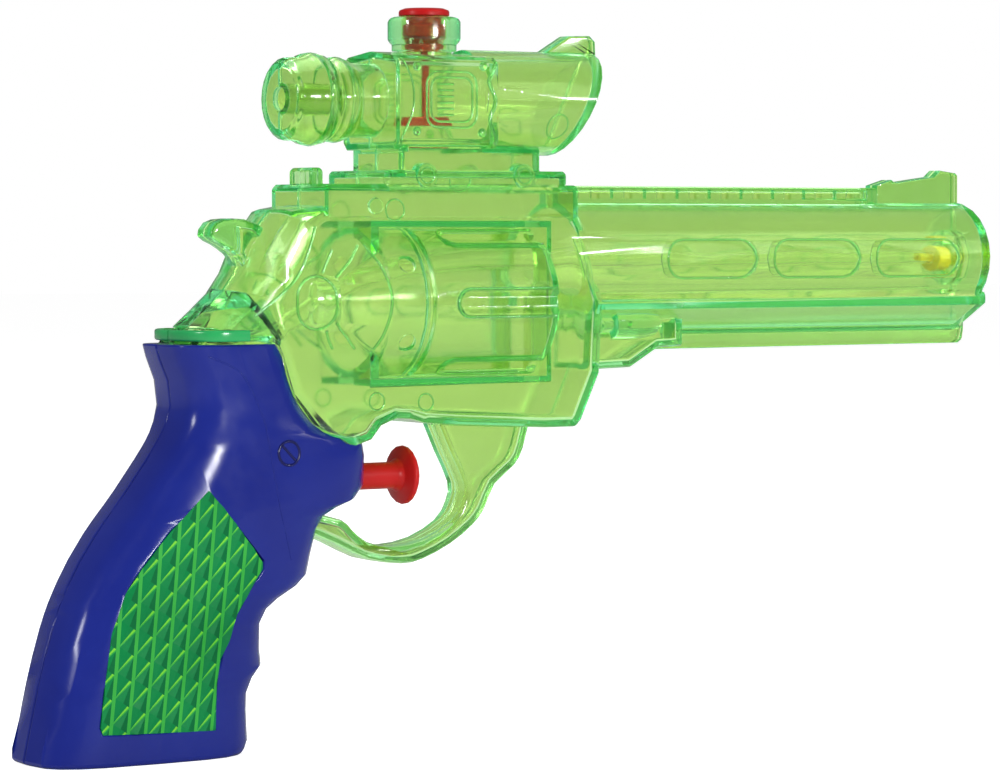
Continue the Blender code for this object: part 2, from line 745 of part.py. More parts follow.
def shroud_outline():
    low = -18.0
    return [(-2.0, -1.0), (-2.0, low), (30.0, low + 1.0), (38.5, low + 5.8), (46.0, low + 6.2), (46.0, -1.0)]


def ejector(name, side):
    """Ejector rod with its ribs and bullet-shaped tip, standing out of the housing's side."""
    start = 5.6
    knee = start + EJECTOR_LENGTH
    tip = knee + EJECTOR_TIP_LENGTH
    ribs = []
    for k in range(4):
        x = start + 2.4 + 3.6 * k
        ribs += [(x, EJECTOR_R), (x + 0.8, EJECTOR_R + 0.7), (x + 1.6, EJECTOR_R)]
    nose = [(tip - EJECTOR_TIP_LENGTH * 0.4, EJECTOR_TIP_R), (tip - 2.4, EJECTOR_TIP_R * 0.75),
            (tip - 0.6, EJECTOR_TIP_R * 0.4), (tip, 0.0)]
    profile = [(start, 0.0), (start, EJECTOR_R)] + ribs
    profile += [(knee, EJECTOR_R), (knee + 0.6, EJECTOR_TIP_R)] + nose
    return turned(name, profile, "X", (0.0, side * SHROUD_HALF, DRUM_Z + SHROUD_H), 10)


def both_sides(make):
    return [make(side) for side in (-1.0, 1.0)]


def collar_seat():
    """Height of the block's top, where the filler neck stands."""
    return DRUM_Z + SCOPE_H + BLOCK_HEIGHT / 2


def body_outside():
    """Outer form of the moulded body, before it is hollowed."""
    axis = (0.0, 0.0, DRUM_Z)
    rear = DRUM_FRONT_X - DRUM_LENGTH
    base_low, base_top = STRAP_TOP - 0.6, STRAP_TOP + BASE_HEIGHT
    riser_top = SCOPE_H - BLOCK_HEIGHT / 2 + RISER_SINK
    form = frame_plate("frame", 0.0)
    drum = cut(turned("drum", drum_profile(), "X", axis, 40), drum_cuts())
    strap = box("strap", (STRAP_REAR_X, -STRAP_HALF, DRUM_Z + 20.0),
                (STRAP_FRONT_X, STRAP_HALF, DRUM_Z + STRAP_TOP), 1.0)
    base = box("base", (BASE_REAR_X, -BASE_HALF, DRUM_Z + base_low),
               (BASE_FRONT_X, BASE_HALF, DRUM_Z + base_top), 0.8)
    riser = box("riser", (RISER_REAR_X, -RISER_HALF, DRUM_Z + base_top - 1.0),
                (RISER_FRONT_X, RISER_HALF, DRUM_Z + riser_top), 0.6)
    sight_x = STRAP_REAR_X + REAR_SIGHT_SETBACK
    sight = box("rear_sight", (sight_x, -REAR_SIGHT_HALF, DRUM_Z + STRAP_TOP - 1.0),
                (sight_x + REAR_SIGHT_LENGTH, REAR_SIGHT_HALF, DRUM_Z + STRAP_TOP + REAR_SIGHT_HEIGHT), 0.8)
    hammer = plate("hammer", smooth(HAMMER, 2, closed=True), HAMMER_HALF, 1.4)
    tang = box("tang", (TANG_REAR_X, -TANG_HALF, DRUM_Z + GRIP_TOP + 0.4),
               (TANG_REAR_X + TANG_LENGTH, TANG_HALF, DRUM_Z + GRIP_TOP + 0.4 + TANG_THICK), 1.2)
    guard = guard_solid("guard", 0.0)
    shroud = plate("shroud", shroud_outline(), SHROUD_HALF, 1.6)
    join(form, [drum, strap, base, riser, sight, hammer, tang, guard, shroud])
    knobs = []
    for x in KNOB_XS:
        knobs.append(rod("knob", (x, -RISER_HALF - KNOB_REACH, DRUM_Z + base_top - 1.2),
                         (x, RISER_HALF + KNOB_REACH, DRUM_Z + base_top - 1.2), KNOB_R, 16))
    stud_x, stud_z, stud_reach = rear - 14.0, DRUM_Z + 23.5, STRAP_HALF + 0.9
    stud = rod("stud", (stud_x, -stud_reach, stud_z), (stud_x, stud_reach, stud_z), STUD_R, 14)
    join(form, knobs + [stud] + both_sides(lambda side: ejector("ejector_%d" % side, side)))
    barrel = barrel_outside()
    scope = scope_outside()
    return join(form, [barrel, scope])


def barrel_outside():
    form = barrel_solid("barrel", 0.0)
    rail_low, rail_top = BARREL_H + BARREL_R - 2.0, STRAP_TOP
    rail = box("rail", (STRAP_FRONT_X - 3.0, -RAIL_HALF, DRUM_Z + rail_low),
               (MUZZLE_X - SIGHT_SETBACK - SIGHT_LENGTH - 1.0, RAIL_HALF, DRUM_Z + rail_top), 0.5)
    pockets = []
    start, stop = STRAP_FRONT_X + 8.0, MUZZLE_X - SIGHT_SETBACK - SIGHT_LENGTH - 3.0
    for k in range(RAIL_POCKETS):
        x = start + (stop - start) * (k + 0.5) / RAIL_POCKETS
        for side in (-1.0, 1.0):
            inner, outer = sorted((side * (RAIL_HALF - RAIL_POCKET_DEPTH), side * (RAIL_HALF + 1.0)))
            middle = DRUM_Z + rail_top - 1.9
            low = (x - RAIL_POCKET_LENGTH / 2, inner, middle - RAIL_POCKET_HEIGHT / 2)
            high = (x + RAIL_POCKET_LENGTH / 2, outer, middle + RAIL_POCKET_HEIGHT / 2)
            pockets.append(box("pocket", low, high))
    cut(rail, pockets)
    top, nose = STRAP_TOP + SIGHT_HEIGHT, MUZZLE_X - SIGHT_SETBACK
    tail = nose - SIGHT_LENGTH
    ramp = [(tail, rail_low), (tail, STRAP_TOP + 0.7), (tail + 5.2, STRAP_TOP + 2.2),
            (tail + 6.4, STRAP_TOP + 1.4), (nose - 8.0, top - 1.0), (nose - 6.0, top + 0.7),
            (nose - 0.6, top), (nose, top - 0.6), (nose, rail_low)]
    front_sight = plate("front_sight", ramp, SIGHT_HALF, 0.5)
    join(form, [rail, front_sight])
    cuts = []
    for k in range(SLOTS):
        cuts += both_sides(lambda side: slot_tool("slot", k, side, SLOT_DEPTH, 0.0))
    return cut(form, cuts)


def scope_outside():
    form = turned("eyepiece", eyepiece_profile(), "X", scope_axis(), 24)
    block = section_bar("block", block_section(0.0), BLOCK_REAR_X, BLOCK_FRONT_X)
    hood = hood_solid("hood", 0.0)
    fin = plate("fin", FIN, FIN_HALF, 0.7)
    join(form, [block, hood, fin])
    return cut(form, [eye_hole("eye_hole", 0.0)])


def eye_hole(name, grow):
    """Blind hole in the eyepiece with a round end, grown for the tube round it."""
    radius = EYE_HOLE_R + grow
    end = EYE_REAR_X + EYE_HOLE_DEPTH
    profile = [(EYE_REAR_X - 1.0, 0.0), (EYE_REAR_X - 1.0, radius)]
    profile += arc((end, 0.0), radius, 90.0, 30.0, 2) + [(end + radius, 0.0)]
    return turned(name, profile, "X", scope_axis(), 16)


def guard_solid(name, grow):
    """Trigger guard strip, from the frame to the grip core; grown for the slot it needs in the covers."""
    return plate(name, inset(guard_outline(), -grow), GUARD_HALF + grow, 1.5)


def guard_outline():
    return smooth(GUARD_INNER, 2) + smooth(GUARD_OUTER, 2) + [(-2.0, -26.0), (-26.0, -26.0)]


def barrel_inside():
    """Hollow of the barrel, with the wall behind its side recesses and a channel up into the rail."""
    form = barrel_solid("barrel_hollow", SHELL_WALL)
    bosses = []
    for k in range(SLOTS):
        bosses += both_sides(lambda side: slot_tool("boss", k, side, SLOT_DEPTH + SHELL_WALL, SHELL_WALL))
    cut(form, bosses)
    half = RAIL_HALF - RAIL_POCKET_DEPTH - RAIL_WALL
    front = MUZZLE_X - SIGHT_SETBACK - SIGHT_LENGTH - 3 * SHELL_WALL
    channel = box("rail_hollow", (STRAP_FRONT_X, -half, DRUM_Z + BARREL_H + BARREL_R - 3 * SHELL_WALL),
                  (front, half, DRUM_Z + STRAP_TOP - RAIL_WALL))
    return join(form, [channel])


def mount_inside():
    """Hollows of the top strap, the scope's base and its riser, open to each other and to the block."""
    base_top = STRAP_TOP + BASE_HEIGHT
    riser_top = SCOPE_H - BLOCK_HEIGHT / 2 + RISER_SINK
    half = STRAP_HALF - SHELL_WALL
    form = box("strap_hollow", (STRAP_REAR_X + SHELL_WALL, -half, DRUM_Z + DRUM_WINDOW_HALF + SHELL_WALL),
               (STRAP_FRONT_X - SHELL_WALL, half, DRUM_Z + STRAP_TOP - SHELL_WALL))
    base = box("base_hollow", (BASE_REAR_X + SHELL_WALL, 0.3 - half, DRUM_Z + STRAP_TOP - 3 * SHELL_WALL),
               (BASE_FRONT_X - SHELL_WALL, half - 0.3, DRUM_Z + base_top - SHELL_WALL))
    half = RISER_HALF - SHELL_WALL
    riser = box("riser_hollow", (RISER_REAR_X + SHELL_WALL, -half, DRUM_Z + base_top - 2 * SHELL_WALL),
                (RISER_FRONT_X - SHELL_WALL, half, DRUM_Z + riser_top - SHELL_WALL))
    well = box("well", (BLOCK_REAR_X + 3 * SHELL_WALL, 0.4 - half, DRUM_Z + base_top - SHELL_WALL),
               (BLOCK_FRONT_X - 2 * SHELL_WALL, half - 0.4, DRUM_Z + riser_top + 2 * SHELL_WALL))
    return join(form, [base, riser, well])


def scope_inside():
    """Hollow of the eyepiece, round the tube of its blind hole, and of the block and the hood."""
    form = turned("eyepiece_hollow", eyepiece_hollow_profile(), "X", scope_axis(), 16)
    cut(form, [eye_hole("eye_tube", EYE_HOLE_WALL)])
    block = section_bar("block_hollow", block_section(SHELL_WALL), BLOCK_REAR_X + SHELL_WALL,
                        BLOCK_FRONT_X - SHELL_WALL)
    return join(form, [block, hood_solid("hood_hollow", SHELL_WALL)])


def body_inside():
    """Hollow of the body, one wall smaller than its outside."""
    form = frame_plate("frame_hollow", SHELL_WALL)
    drum = turned("drum_hollow", drum_hollow_profile(), "X", (0.0, 0.0, DRUM_Z), 20)
    cut(drum, [flute(k, SHELL_WALL) for k in range(FLUTES)])
    throat = rod("throat", (DRUM_FRONT_X - 8.0, 0.0, DRUM_Z + BARREL_H - 2.0),
                 (BARREL_ROOT_X + 14.0, 0.0, DRUM_Z + BARREL_H - 2.0), 8.0, 14)
    hammer = plate("hammer_hollow", inset(HAMMER[2:9], SHELL_WALL), HAMMER_HALF - SHELL_WALL, 0.6, 1)
    guard = plate("guard_hollow", inset(guard_outline(), SHELL_WALL), GUARD_HALF - SHELL_WALL, 0.6, 1)
    shroud = plate("shroud_hollow", inset(shroud_outline(), SHELL_WALL), SHROUD_HALF - SHELL_WALL, 0.6, 1)
    return join(form, [drum, throat, hammer, guard, shroud, barrel_inside(), mount_inside(), scope_inside()])


# Pump places, all from the pump's own sizes

def pump_z():
    return DRUM_Z + PUMP_H


def pump_axis():
    return (0.0, 0.0, pump_z())


def pump_rear_x():
    return PUMP_FRONT_X - PUMP_LENGTH


def piston_front_x():
    return PUMP_FRONT_X - GUIDE_LENGTH - GAP


def piston_rear_x():
    return piston_front_x() - PISTON_LENGTH


def valve_x():
    return pump_rear_x() - GAP - VALVE_R


def seat_rise():
    """Height of a ball's centre above the edge of the hole it closes."""
    return math.sqrt(BALL_R ** 2 - VALVE_NECK_R ** 2) + 0.05


def inlet_seat_z():
    return pump_z() - 2.6 - BALL_LIFT - 2 * seat_rise()


def outlet_seat_z():
    return pump_z() + 2.6


def valve_low_z():
    return inlet_seat_z() - 3.4


def valve_top_z():
    return outlet_seat_z() + 2 * seat_rise() + BALL_LIFT + 3.6


def nozzle_rear_x():
    return MUZZLE_X - MUZZLE_BORE_DEPTH - NOZZLE_LENGTH + 2.0


def barrel_axis_z():
    return DRUM_Z + BARREL_H


def outlet_route():
    """Path of the outlet tube, straight over the spigot and the nozzle's tail; its bends are by eye."""
    start_z = valve_top_z() + 1.6
    tail = nozzle_rear_x() + SPIGOT_LENGTH - GAP
    straight = SPIGOT_LENGTH + 0.6
    x, low = valve_x(), barrel_axis_z()
    bends = [(x, start_z + straight), (x + 2.6, start_z + straight + 6.5), (x + 12.0, start_z + 19.5),
             (x + 26.0, low - 14.0), (x + 44.0, low - 5.0), (x + 66.0, low - 0.8), (x + 90.0, low),
             (x + 140.0, low), (tail - 12.0, low)]
    return [(x, 0.0, start_z)] + [(px, 0.0, pz) for px, pz in smooth(bends, 2)] + [(tail, 0.0, low)]


def pickup_route():
    """Path of the pickup tube, straight over the inlet spigot and then down to the butt."""
    start_z = valve_low_z() - 1.6
    straight = SPIGOT_LENGTH + 0.6
    x = valve_x()
    bends = [(x, start_z - straight), (x - 4.0, start_z - PICKUP_DROP / 2), (x - 12.0, start_z - PICKUP_DROP)]
    return [(x, 0.0, start_z)] + [(px, 0.0, pz) for px, pz in smooth(bends, 4)]


def right_half(form):
    """Keep the half of a form on the gun's right, clear of the seam."""
    away = 2 * MUZZLE_X
    left_side = box("left_side", (-away, -SEAM_GAP / 2, -away), (away, away, away))
    return combine(form, [left_side], "DIFFERENCE", "MANIFOLD")


def mirrored(source, name):
    """Copy of a right-hand moulding, turned into its left-hand twin."""
    made = copy_of(source, name)
    bm = bmesh.new()
    bm.from_mesh(made.data)
    bmesh.ops.scale(bm, vec=(1.0, -1.0, 1.0), verts=bm.verts)
    bmesh.ops.reverse_faces(bm, faces=bm.faces)
    bm.to_mesh(made.data)
    bm.free()
    return made


def body_halves():
    """The two green mouldings, welded together on the middle plane."""
    form = body_outside()
    cut(form, [grip_solid("grip_space", -GAP, steps=GRIP_STEPS)])
    join(form, [grip_solid("core", COVER_WALL + GAP, bridge=4.0, rise=1.6), window_pad("pad")])
    right_half(form)
    hollow = body_inside()
    chamber = grip_solid("chamber", COVER_WALL + GAP + SHELL_WALL, bridge=9.0, rise=7.0)
    ribs = []
    for x in (PUMP_FRONT_X - 8.0, pump_rear_x() + 6.0):
        ribs.append(box("rib", (x - 0.8, -30.0, pump_z() - 31.3), (x + 0.8, 30.0, pump_z() + PUMP_R + 1.5)))
    cut(chamber, ribs)
    join(hollow, [chamber])
    boss = rod("muzzle_boss", (MUZZLE_X - MUZZLE_BORE_DEPTH - 2.2, 0.0, barrel_axis_z()),
               (MUZZLE_X - 0.6, 0.0, barrel_axis_z()), MUZZLE_BORE_R + 1.6, 20)
    cut(hollow, [boss])
    bore = rod("plunger_bore", (SNOUT_X + 5.0, 0.0, pump_z()), (PUMP_FRONT_X - 5.0, 0.0, pump_z()),
               ROD_R + GAP, 18)
    bed = rod("pump_bed", (PUMP_FRONT_X + GAP, 0.0, pump_z()), (pump_rear_x() - GAP, 0.0, pump_z()),
              PUMP_R + GAP, 18)
    neck = rod("neck_seat", (FILLER_X, 0.0, collar_seat() - NECK_DEPTH - 4.0),
               (FILLER_X, 0.0, collar_seat() + 9.0), NECK_R - 1.2 + GAP, 20)
    spout = rod("muzzle_bore", (MUZZLE_X - MUZZLE_BORE_DEPTH, 0.0, barrel_axis_z()),
                (MUZZLE_X + 4.0, 0.0, barrel_axis_z()), MUZZLE_BORE_R, 20)
    seat = rod("nozzle_seat", (MUZZLE_X - 12.0, 0.0, barrel_axis_z()), (MUZZLE_X, 0.0, barrel_axis_z()),
               NOZZLE_R + GAP, 20)
    join(hollow, [bore, bed, neck, spout, seat])
    combine(form, [hollow], "DIFFERENCE", "MANIFOLD")
    form.name = "body_right"
    return [form, mirrored(form, "body_left")]


def window_pad(name):
    """Pads that fill the windows of the grip covers, set a little under the covers' surface."""
    outline = inset(WINDOW, GAP)
    form = loft(name, [[(x, y, DRUM_Z + h) for x, h in outline] for y in (-40.0, 40.0)])
    return keep(form, [grip_solid("pad_form", PAD_DEPTH, steps=GRIP_STEPS)])


def grip_covers():
    """The two blue covers: open-topped shells with a window on each side."""
    shell = grip_solid("cover", 0.0, steps=GRIP_STEPS)
    cut(shell, [grip_solid("cover_hollow", COVER_WALL, bridge=5.0, rise=3.0)])
    windows = loft("windows", [[(x, y, DRUM_Z + h) for x, h in WINDOW] for y in (-40.0, 40.0)])
    bore = rod("cover_bore", (SNOUT_X + 5.0, 0.0, pump_z()), (PUMP_FRONT_X, 0.0, pump_z()),
               ROD_R + 3 * GAP, 24)
    bed = rod("cover_bed", (PUMP_FRONT_X + GAP, 0.0, pump_z()), (PUMP_FRONT_X - 9.0, 0.0, pump_z()),
              PUMP_R + 2 * GAP, 24)
    cut(shell, [windows, bore, bed, guard_solid("guard_slot", GAP)])
    right_half(shell)
    shell.name = "grip_cover_right"
    return [shell, mirrored(shell, "grip_cover_left")]


def filler_collar():
    """Filler neck: a ring that stands in the top of the scope block."""
    low = collar_seat() - NECK_DEPTH
    rim = collar_seat() + COLLAR_LIFT
    top = rim + COLLAR_HEIGHT
    inner = NECK_R - 1.2
    step = collar_seat() + GAP
    profile = [(low, FILLER_BORE_R), (low, inner), (step, inner), (step, NECK_R), (rim, NECK_R),
               (rim + 0.4, COLLAR_R - 0.6), (rim + 1.2, COLLAR_R), (top - 1.2, COLLAR_R),
               (top - 0.3, COLLAR_R - 0.5), (top, COLLAR_R - 1.4), (top, FILLER_BORE_R)]
    return turned("filler_collar", profile, "Z", (FILLER_X, 0.0, 0.0), 20)


def filler_plug():
    """Push-in plug with its leash and the cross bar that keeps it on the gun."""
    rim = collar_seat() + COLLAR_LIFT + COLLAR_HEIGHT
    cap_low = rim + 0.05 + GAP / 2
    cap_top = cap_low + PLUG_CAP_HEIGHT
    low = rim - PLUG_DEPTH
    cap = [(cap_top, 0.0), (cap_top - 0.15, PLUG_CAP_R - 1.4), (cap_top - 0.6, PLUG_CAP_R - 0.2),
           (cap_top - 1.0, PLUG_CAP_R), (cap_low + 0.2, PLUG_CAP_R), (cap_low, PLUG_CAP_R - 0.3)]
    stopper = [(cap_low, PLUG_R - 1.0), (rim - 1.8, PLUG_R - 1.0), (rim - 2.3, PLUG_R), (rim - 4.8, PLUG_R)]
    tail = [(rim - 5.3, PLUG_R - 1.2), (low + 1.8, PLUG_R - 1.2), (low + 1.4, PLUG_R - 0.4),
            (low, PLUG_R - 0.8), (low, 0.0)]
    form = turned("filler_plug", cap + stopper + tail, "Z", (FILLER_X, 0.0, 0.0), 20)
    foot = low - LEASH_LENGTH
    leash = box("leash", (FILLER_X - LEASH_WIDTH / 2, -LEASH_THICK / 2, foot),
                (FILLER_X + LEASH_WIDTH / 2, LEASH_THICK / 2, low + 1.0), 0.2)
    half = ANCHOR_SPAN / 2
    bar = [(FILLER_X - half, foot - DRUM_Z), (FILLER_X - half + 1.4, foot - DRUM_Z + ANCHOR_HEIGHT),
           (FILLER_X + half - 1.4, foot - DRUM_Z + ANCHOR_HEIGHT), (FILLER_X + half, foot - DRUM_Z)]
    return join(form, [leash, plate("anchor", bar, LEASH_THICK, 0.3)])


def trigger_plunger():
    """Push-button trigger: disc head, rod and the stem that carries the piston cup."""
    back = SNOUT_X + TRIGGER_TRAVEL + TRIGGER_CLEAR
    front = back + HEAD_THICK
    stem = piston_front_x()
    rear = piston_rear_x()
    head = [(front, 0.0), (front - 0.15, HEAD_R * 0.5), (front - 0.7, HEAD_R * 0.85), (front - 1.5, HEAD_R),
            (front - 2.3, HEAD_R), (front - 2.9, HEAD_R - 0.6)]
    bar = [(back, ROD_R + 0.8), (back - 1.6, ROD_R), (stem - GAP, ROD_R)]
    carrier = [(stem - GAP, PISTON_CORE_R), (rear + 0.9, PISTON_CORE_R), (rear + 0.9, SPRING_R + 0.5),
               (rear, SPRING_R + 0.5), (rear, 0.0)]
    return turned("trigger_plunger", head + bar + carrier, "X", pump_axis(), 20)


def piston_cup():
    """Rubber cup that seals the plunger in the pump cylinder."""
    front = piston_front_x() - 2 * GAP
    rear = piston_rear_x() + 0.9 + GAP
    inner = PISTON_CORE_R + GAP
    profile = [(front, inner), (front, PUMP_BORE_R - 0.5), (rear + 0.6, PUMP_BORE_R - 0.15),
               (rear, PUMP_BORE_R - 0.3), (rear + 0.4, PUMP_BORE_R - 0.9), (rear + 0.6, inner)]
    return turned("piston_cup", profile, "X", pump_axis(), 14)


def spring_points():
    """Centre line of the return spring between the piston and the end of the cylinder."""
    start = piston_rear_x() - GAP - SPRING_WIRE_R
    end = pump_rear_x() + PUMP_END_WALL + GAP + SPRING_WIRE_R
    per_turn = 10
    count = SPRING_COILS * per_turn
    points = []
    for k in range(count + 1):
        turn = 2 * math.pi * k / per_turn
        points.append(Vector((start + (end - start) * k / count, SPRING_R * math.cos(turn),
                              pump_z() + SPRING_R * math.sin(turn))))
    per_coil = [(points[k + per_turn] - points[k]).length for k in range(count + 1 - per_turn)]
    print("return_spring least gap to itself: %.2f mm" % (min(per_coil) - 2 * SPRING_WIRE_R))
    return points


def return_spring():
    return wire("return_spring", spring_points(), SPRING_WIRE_R, 1)


def pump_cylinder():
    """Pump cylinder, open at the front, with a port in its end wall."""
    rear = pump_rear_x()
    port = VALVE_NECK_R
    mouth = PUMP_FRONT_X - GUIDE_LIP - GAP
    profile = [(mouth, PUMP_BORE_R), (mouth, PUMP_R), (rear, PUMP_R), (rear, port),
               (rear + PUMP_END_WALL, port), (rear + PUMP_END_WALL, PUMP_BORE_R)]
    return turned("pump_cylinder", profile, "X", pump_axis(), 16)


def seal_pocket():
    """Radius and depth of the counterbore that holds the rod's seal."""
    return ROD_R + GAP / 2 + 2 * SEAL_R + GAP, 2 * SEAL_R + 2 * GAP


def plunger_guide():
    """Bush that closes the pump cylinder and guides the rod, with a counterbore for its seal."""
    front = PUMP_FRONT_X
    lip = front - GUIDE_LIP
    rear = front - GUIDE_LENGTH
    hole = ROD_R + GAP
    pocket_r, pocket_depth = seal_pocket()
    fit = PUMP_BORE_R - GAP
    floor = front - pocket_depth
    profile = [(front, pocket_r), (front, PUMP_R), (lip, PUMP_R), (lip, fit), (rear, fit), (rear, hole),
               (floor, hole), (floor, pocket_r)]
    return turned("plunger_guide", profile, "X", pump_axis(), 16)


def guide_seal():
    """Rubber ring round the rod, in the guide's counterbore."""
    centre_x = PUMP_FRONT_X - GAP - SEAL_R
    middle = ROD_R + GAP / 2 + SEAL_R
    ring = arc((centre_x, middle), SEAL_R, 0.0, 300.0, 5)
    return turned("guide_seal", ring, "X", pump_axis(), 14)


def valve_axis():
    return (valve_x(), 0.0, 0.0)


def valve_block():
    """Block with the two valve chambers, one under and one over the pump's port."""
    low, top = valve_low_z(), valve_top_z()
    seat, rise = inlet_seat_z(), seat_rise()
    ceiling = seat + 2 * rise + BALL_LIFT
    upper = outlet_seat_z()
    profile = [(low, VALVE_CHAMBER_R), (low, VALVE_R - 0.6), (low + 0.6, VALVE_R), (top - 0.6, VALVE_R),
               (top, VALVE_R - 0.6), (top, VALVE_CHAMBER_R), (upper, VALVE_CHAMBER_R), (upper, VALVE_NECK_R),
               (ceiling, VALVE_NECK_R), (ceiling, VALVE_CHAMBER_R)]
    form = turned("valve_block", profile, "Z", valve_axis(), 14)
    port = rod("port", (valve_x(), 0.0, pump_z()), (valve_x() + VALVE_R + 1.0, 0.0, pump_z()),
               VALVE_NECK_R - 0.1, 12)
    return cut(form, [port])


def valve_end(name, seat, toward):
    """Plug for one end of the valve block, with a hose spigot outside; toward is -1 down or 1 up."""
    outer = valve_low_z() if toward < 0 else valve_top_z()
    flange = outer + toward * GAP
    face = flange + toward * 1.0
    tip = face + toward * SPIGOT_LENGTH
    fit = VALVE_CHAMBER_R - GAP
    bore = SPIGOT_BORE_R
    rim = VALVE_R - 0.6
    profile = [(seat, bore + 0.3), (seat, fit), (flange, fit), (flange, rim), (face, rim), (face, SPIGOT_R),
               (tip, SPIGOT_R), (tip, bore), (seat + toward * 0.6, bore)]
    return turned(name, profile, "Z", valve_axis(), 12)


def inlet_seat():
    return valve_end("inlet_seat", inlet_seat_z(), -1.0)


def outlet_spigot():
    return valve_end("outlet_spigot", outlet_seat_z() + 2 * seat_rise() + BALL_LIFT, 1.0)


def ball(name, seat):
    """Valve ball resting on its seat."""
    bm = bmesh.new()
    bmesh.ops.create_uvsphere(bm, u_segments=12, v_segments=8, radius=BALL_R)
    place = Matrix.Translation((valve_x(), 0.0, seat + seat_rise()))
    bmesh.ops.transform(bm, matrix=place, verts=bm.verts)
    return mesh_object(name, bm)


def hose(name, route):
    """Clear tube: an outer wire with a bore cut through it."""
    outer = wire(name, route, SPIGOT_R + GAP / 2 + TUBE_WALL, 2)
    first, second = Vector(route[0]), Vector(route[1])
    last, before = Vector(route[-1]), Vector(route[-2])
    ends = [first + (first - second).normalized()], [last + (last - before).normalized()]
    inner = wire(name + "_bore", ends[0] + [Vector(p) for p in route] + ends[1], SPIGOT_R + GAP / 2, 2)
    return cut(outer, [inner])


def nozzle():
    """Jet nozzle, held by its flange behind the muzzle wall, with a spigot for the tube."""
    wall = MUZZLE_X - MUZZLE_BORE_DEPTH - 2.2 - GAP
    tip = MUZZLE_X - 1.0
    tail = nozzle_rear_x()
    neck = tail + SPIGOT_LENGTH
    profile = [(tail, NOZZLE_BORE_R), (tail, SPIGOT_R), (neck, SPIGOT_R), (neck, NOZZLE_FLANGE_R),
               (wall, NOZZLE_FLANGE_R), (wall, NOZZLE_R), (tip - 0.6, NOZZLE_R), (tip, NOZZLE_R - 0.6),
               (tip, NOZZLE_BORE_R)]
    return turned("nozzle", profile, "X", (0.0, 0.0, barrel_axis_z()), 14)


def middle_x():
    """Middle of the whole length, which becomes the origin."""
    return (MUZZLE_X + BUTT_REAR_X) / 2


def joint_empty(name, place, children):
    """Empty on a joint's axis that carries the pieces which move with it."""
    empty = bpy.data.objects.new(name, None)
    PARTS.objects.link(empty)
    empty.location = (Vector(place) - Vector((middle_x(), 0.0, 0.0))) * MM
    bpy.context.view_layer.update()
    for child in children:
        child.parent = empty
        child.matrix_parent_inverse = empty.matrix_world.inverted()


def merge_flat(mesh):
    """Join the faces that lie in one plane, which the cuts left in pieces."""
    bm = bmesh.new()
    bm.from_mesh(mesh)
    bmesh.ops.dissolve_limit(bm, angle_limit=math.radians(FLAT_ANGLE), verts=bm.verts, edges=bm.edges)
    bm.to_mesh(mesh)
    bm.free()


def finish(piece, look):
    """Bring a piece to metres and give it its material, shading and place among the parts."""
    merge_flat(piece.data)
    piece.data.transform(Matrix.Scale(MM, 4) @ Matrix.Translation((-middle_x(), 0.0, 0.0)))
    piece.data.materials.clear()
    piece.data.materials.append(look)
    piece.data.shade_smooth()
    piece.data.set_sharp_from_angle(angle=math.radians(35.0))
    TOOLS.objects.unlink(piece)
    PARTS.objects.link(piece)
    return piece


def build():
    green = material("clear_green", (0.36, 0.72, 0.16), 0.08, transmission=1.0)
    blue = material("gloss_blue", (0.024, 0.03, 0.27), 0.22)
    red = material("red_plastic", (0.55, 0.012, 0.016), 0.35)
    yellow = material("amber_plastic", (0.75, 0.55, 0.03), 0.3)
    white = material("white_plastic", (0.8, 0.8, 0.78), 0.4)
    rubber = material("black_rubber", (0.02, 0.02, 0.02), 0.7)
    steel = material("spring_steel", (0.6, 0.6, 0.6), 0.3, metallic=1.0)
    clear = material("clear_tube", (0.8, 0.85, 0.75), 0.15, transmission=0.9)
    for piece in body_halves():
        finish(piece, green)
    for piece in grip_covers():
        finish(piece, blue)
    finish(filler_collar(), green)
    plug = finish(filler_plug(), red)
    plunger = finish(trigger_plunger(), red)
    cup = finish(piston_cup(), rubber)
    finish(return_spring(), steel)
    for piece in (pump_cylinder(), plunger_guide(), valve_block(), inlet_seat(), outlet_spigot()):
        finish(piece, white)
    finish(guide_seal(), rubber)
    low_ball = finish(ball("inlet_ball", inlet_seat_z()), steel)
    high_ball = finish(ball("outlet_ball", outlet_seat_z()), steel)
    finish(hose("pickup_tube", pickup_route()), clear)
    finish(hose("outlet_tube", outlet_route()), clear)
    finish(nozzle(), yellow)
    joint_empty("trigger_axis", pump_axis(), [plunger, cup])
    joint_empty("plug_axis", (FILLER_X, 0.0, collar_seat()), [plug])
    joint_empty("inlet_axis", (valve_x(), 0.0, inlet_seat_z()), [low_ball])
    joint_empty("outlet_axis", (valve_x(), 0.0, outlet_seat_z()), [high_ball])


clear_scene()
PARTS = new_collection("water_pistol")
TOOLS = new_collection("cutters")
build()
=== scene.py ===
"""Looks of the toy water pistol: finishes, fine surface detail, studio and camera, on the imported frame."""
import json
import math

import bmesh
import bpy
import numpy as np
from mathutils import Matrix, Vector
from mathutils.bvhtree import BVHTree
from mathutils.geometry import intersect_point_line

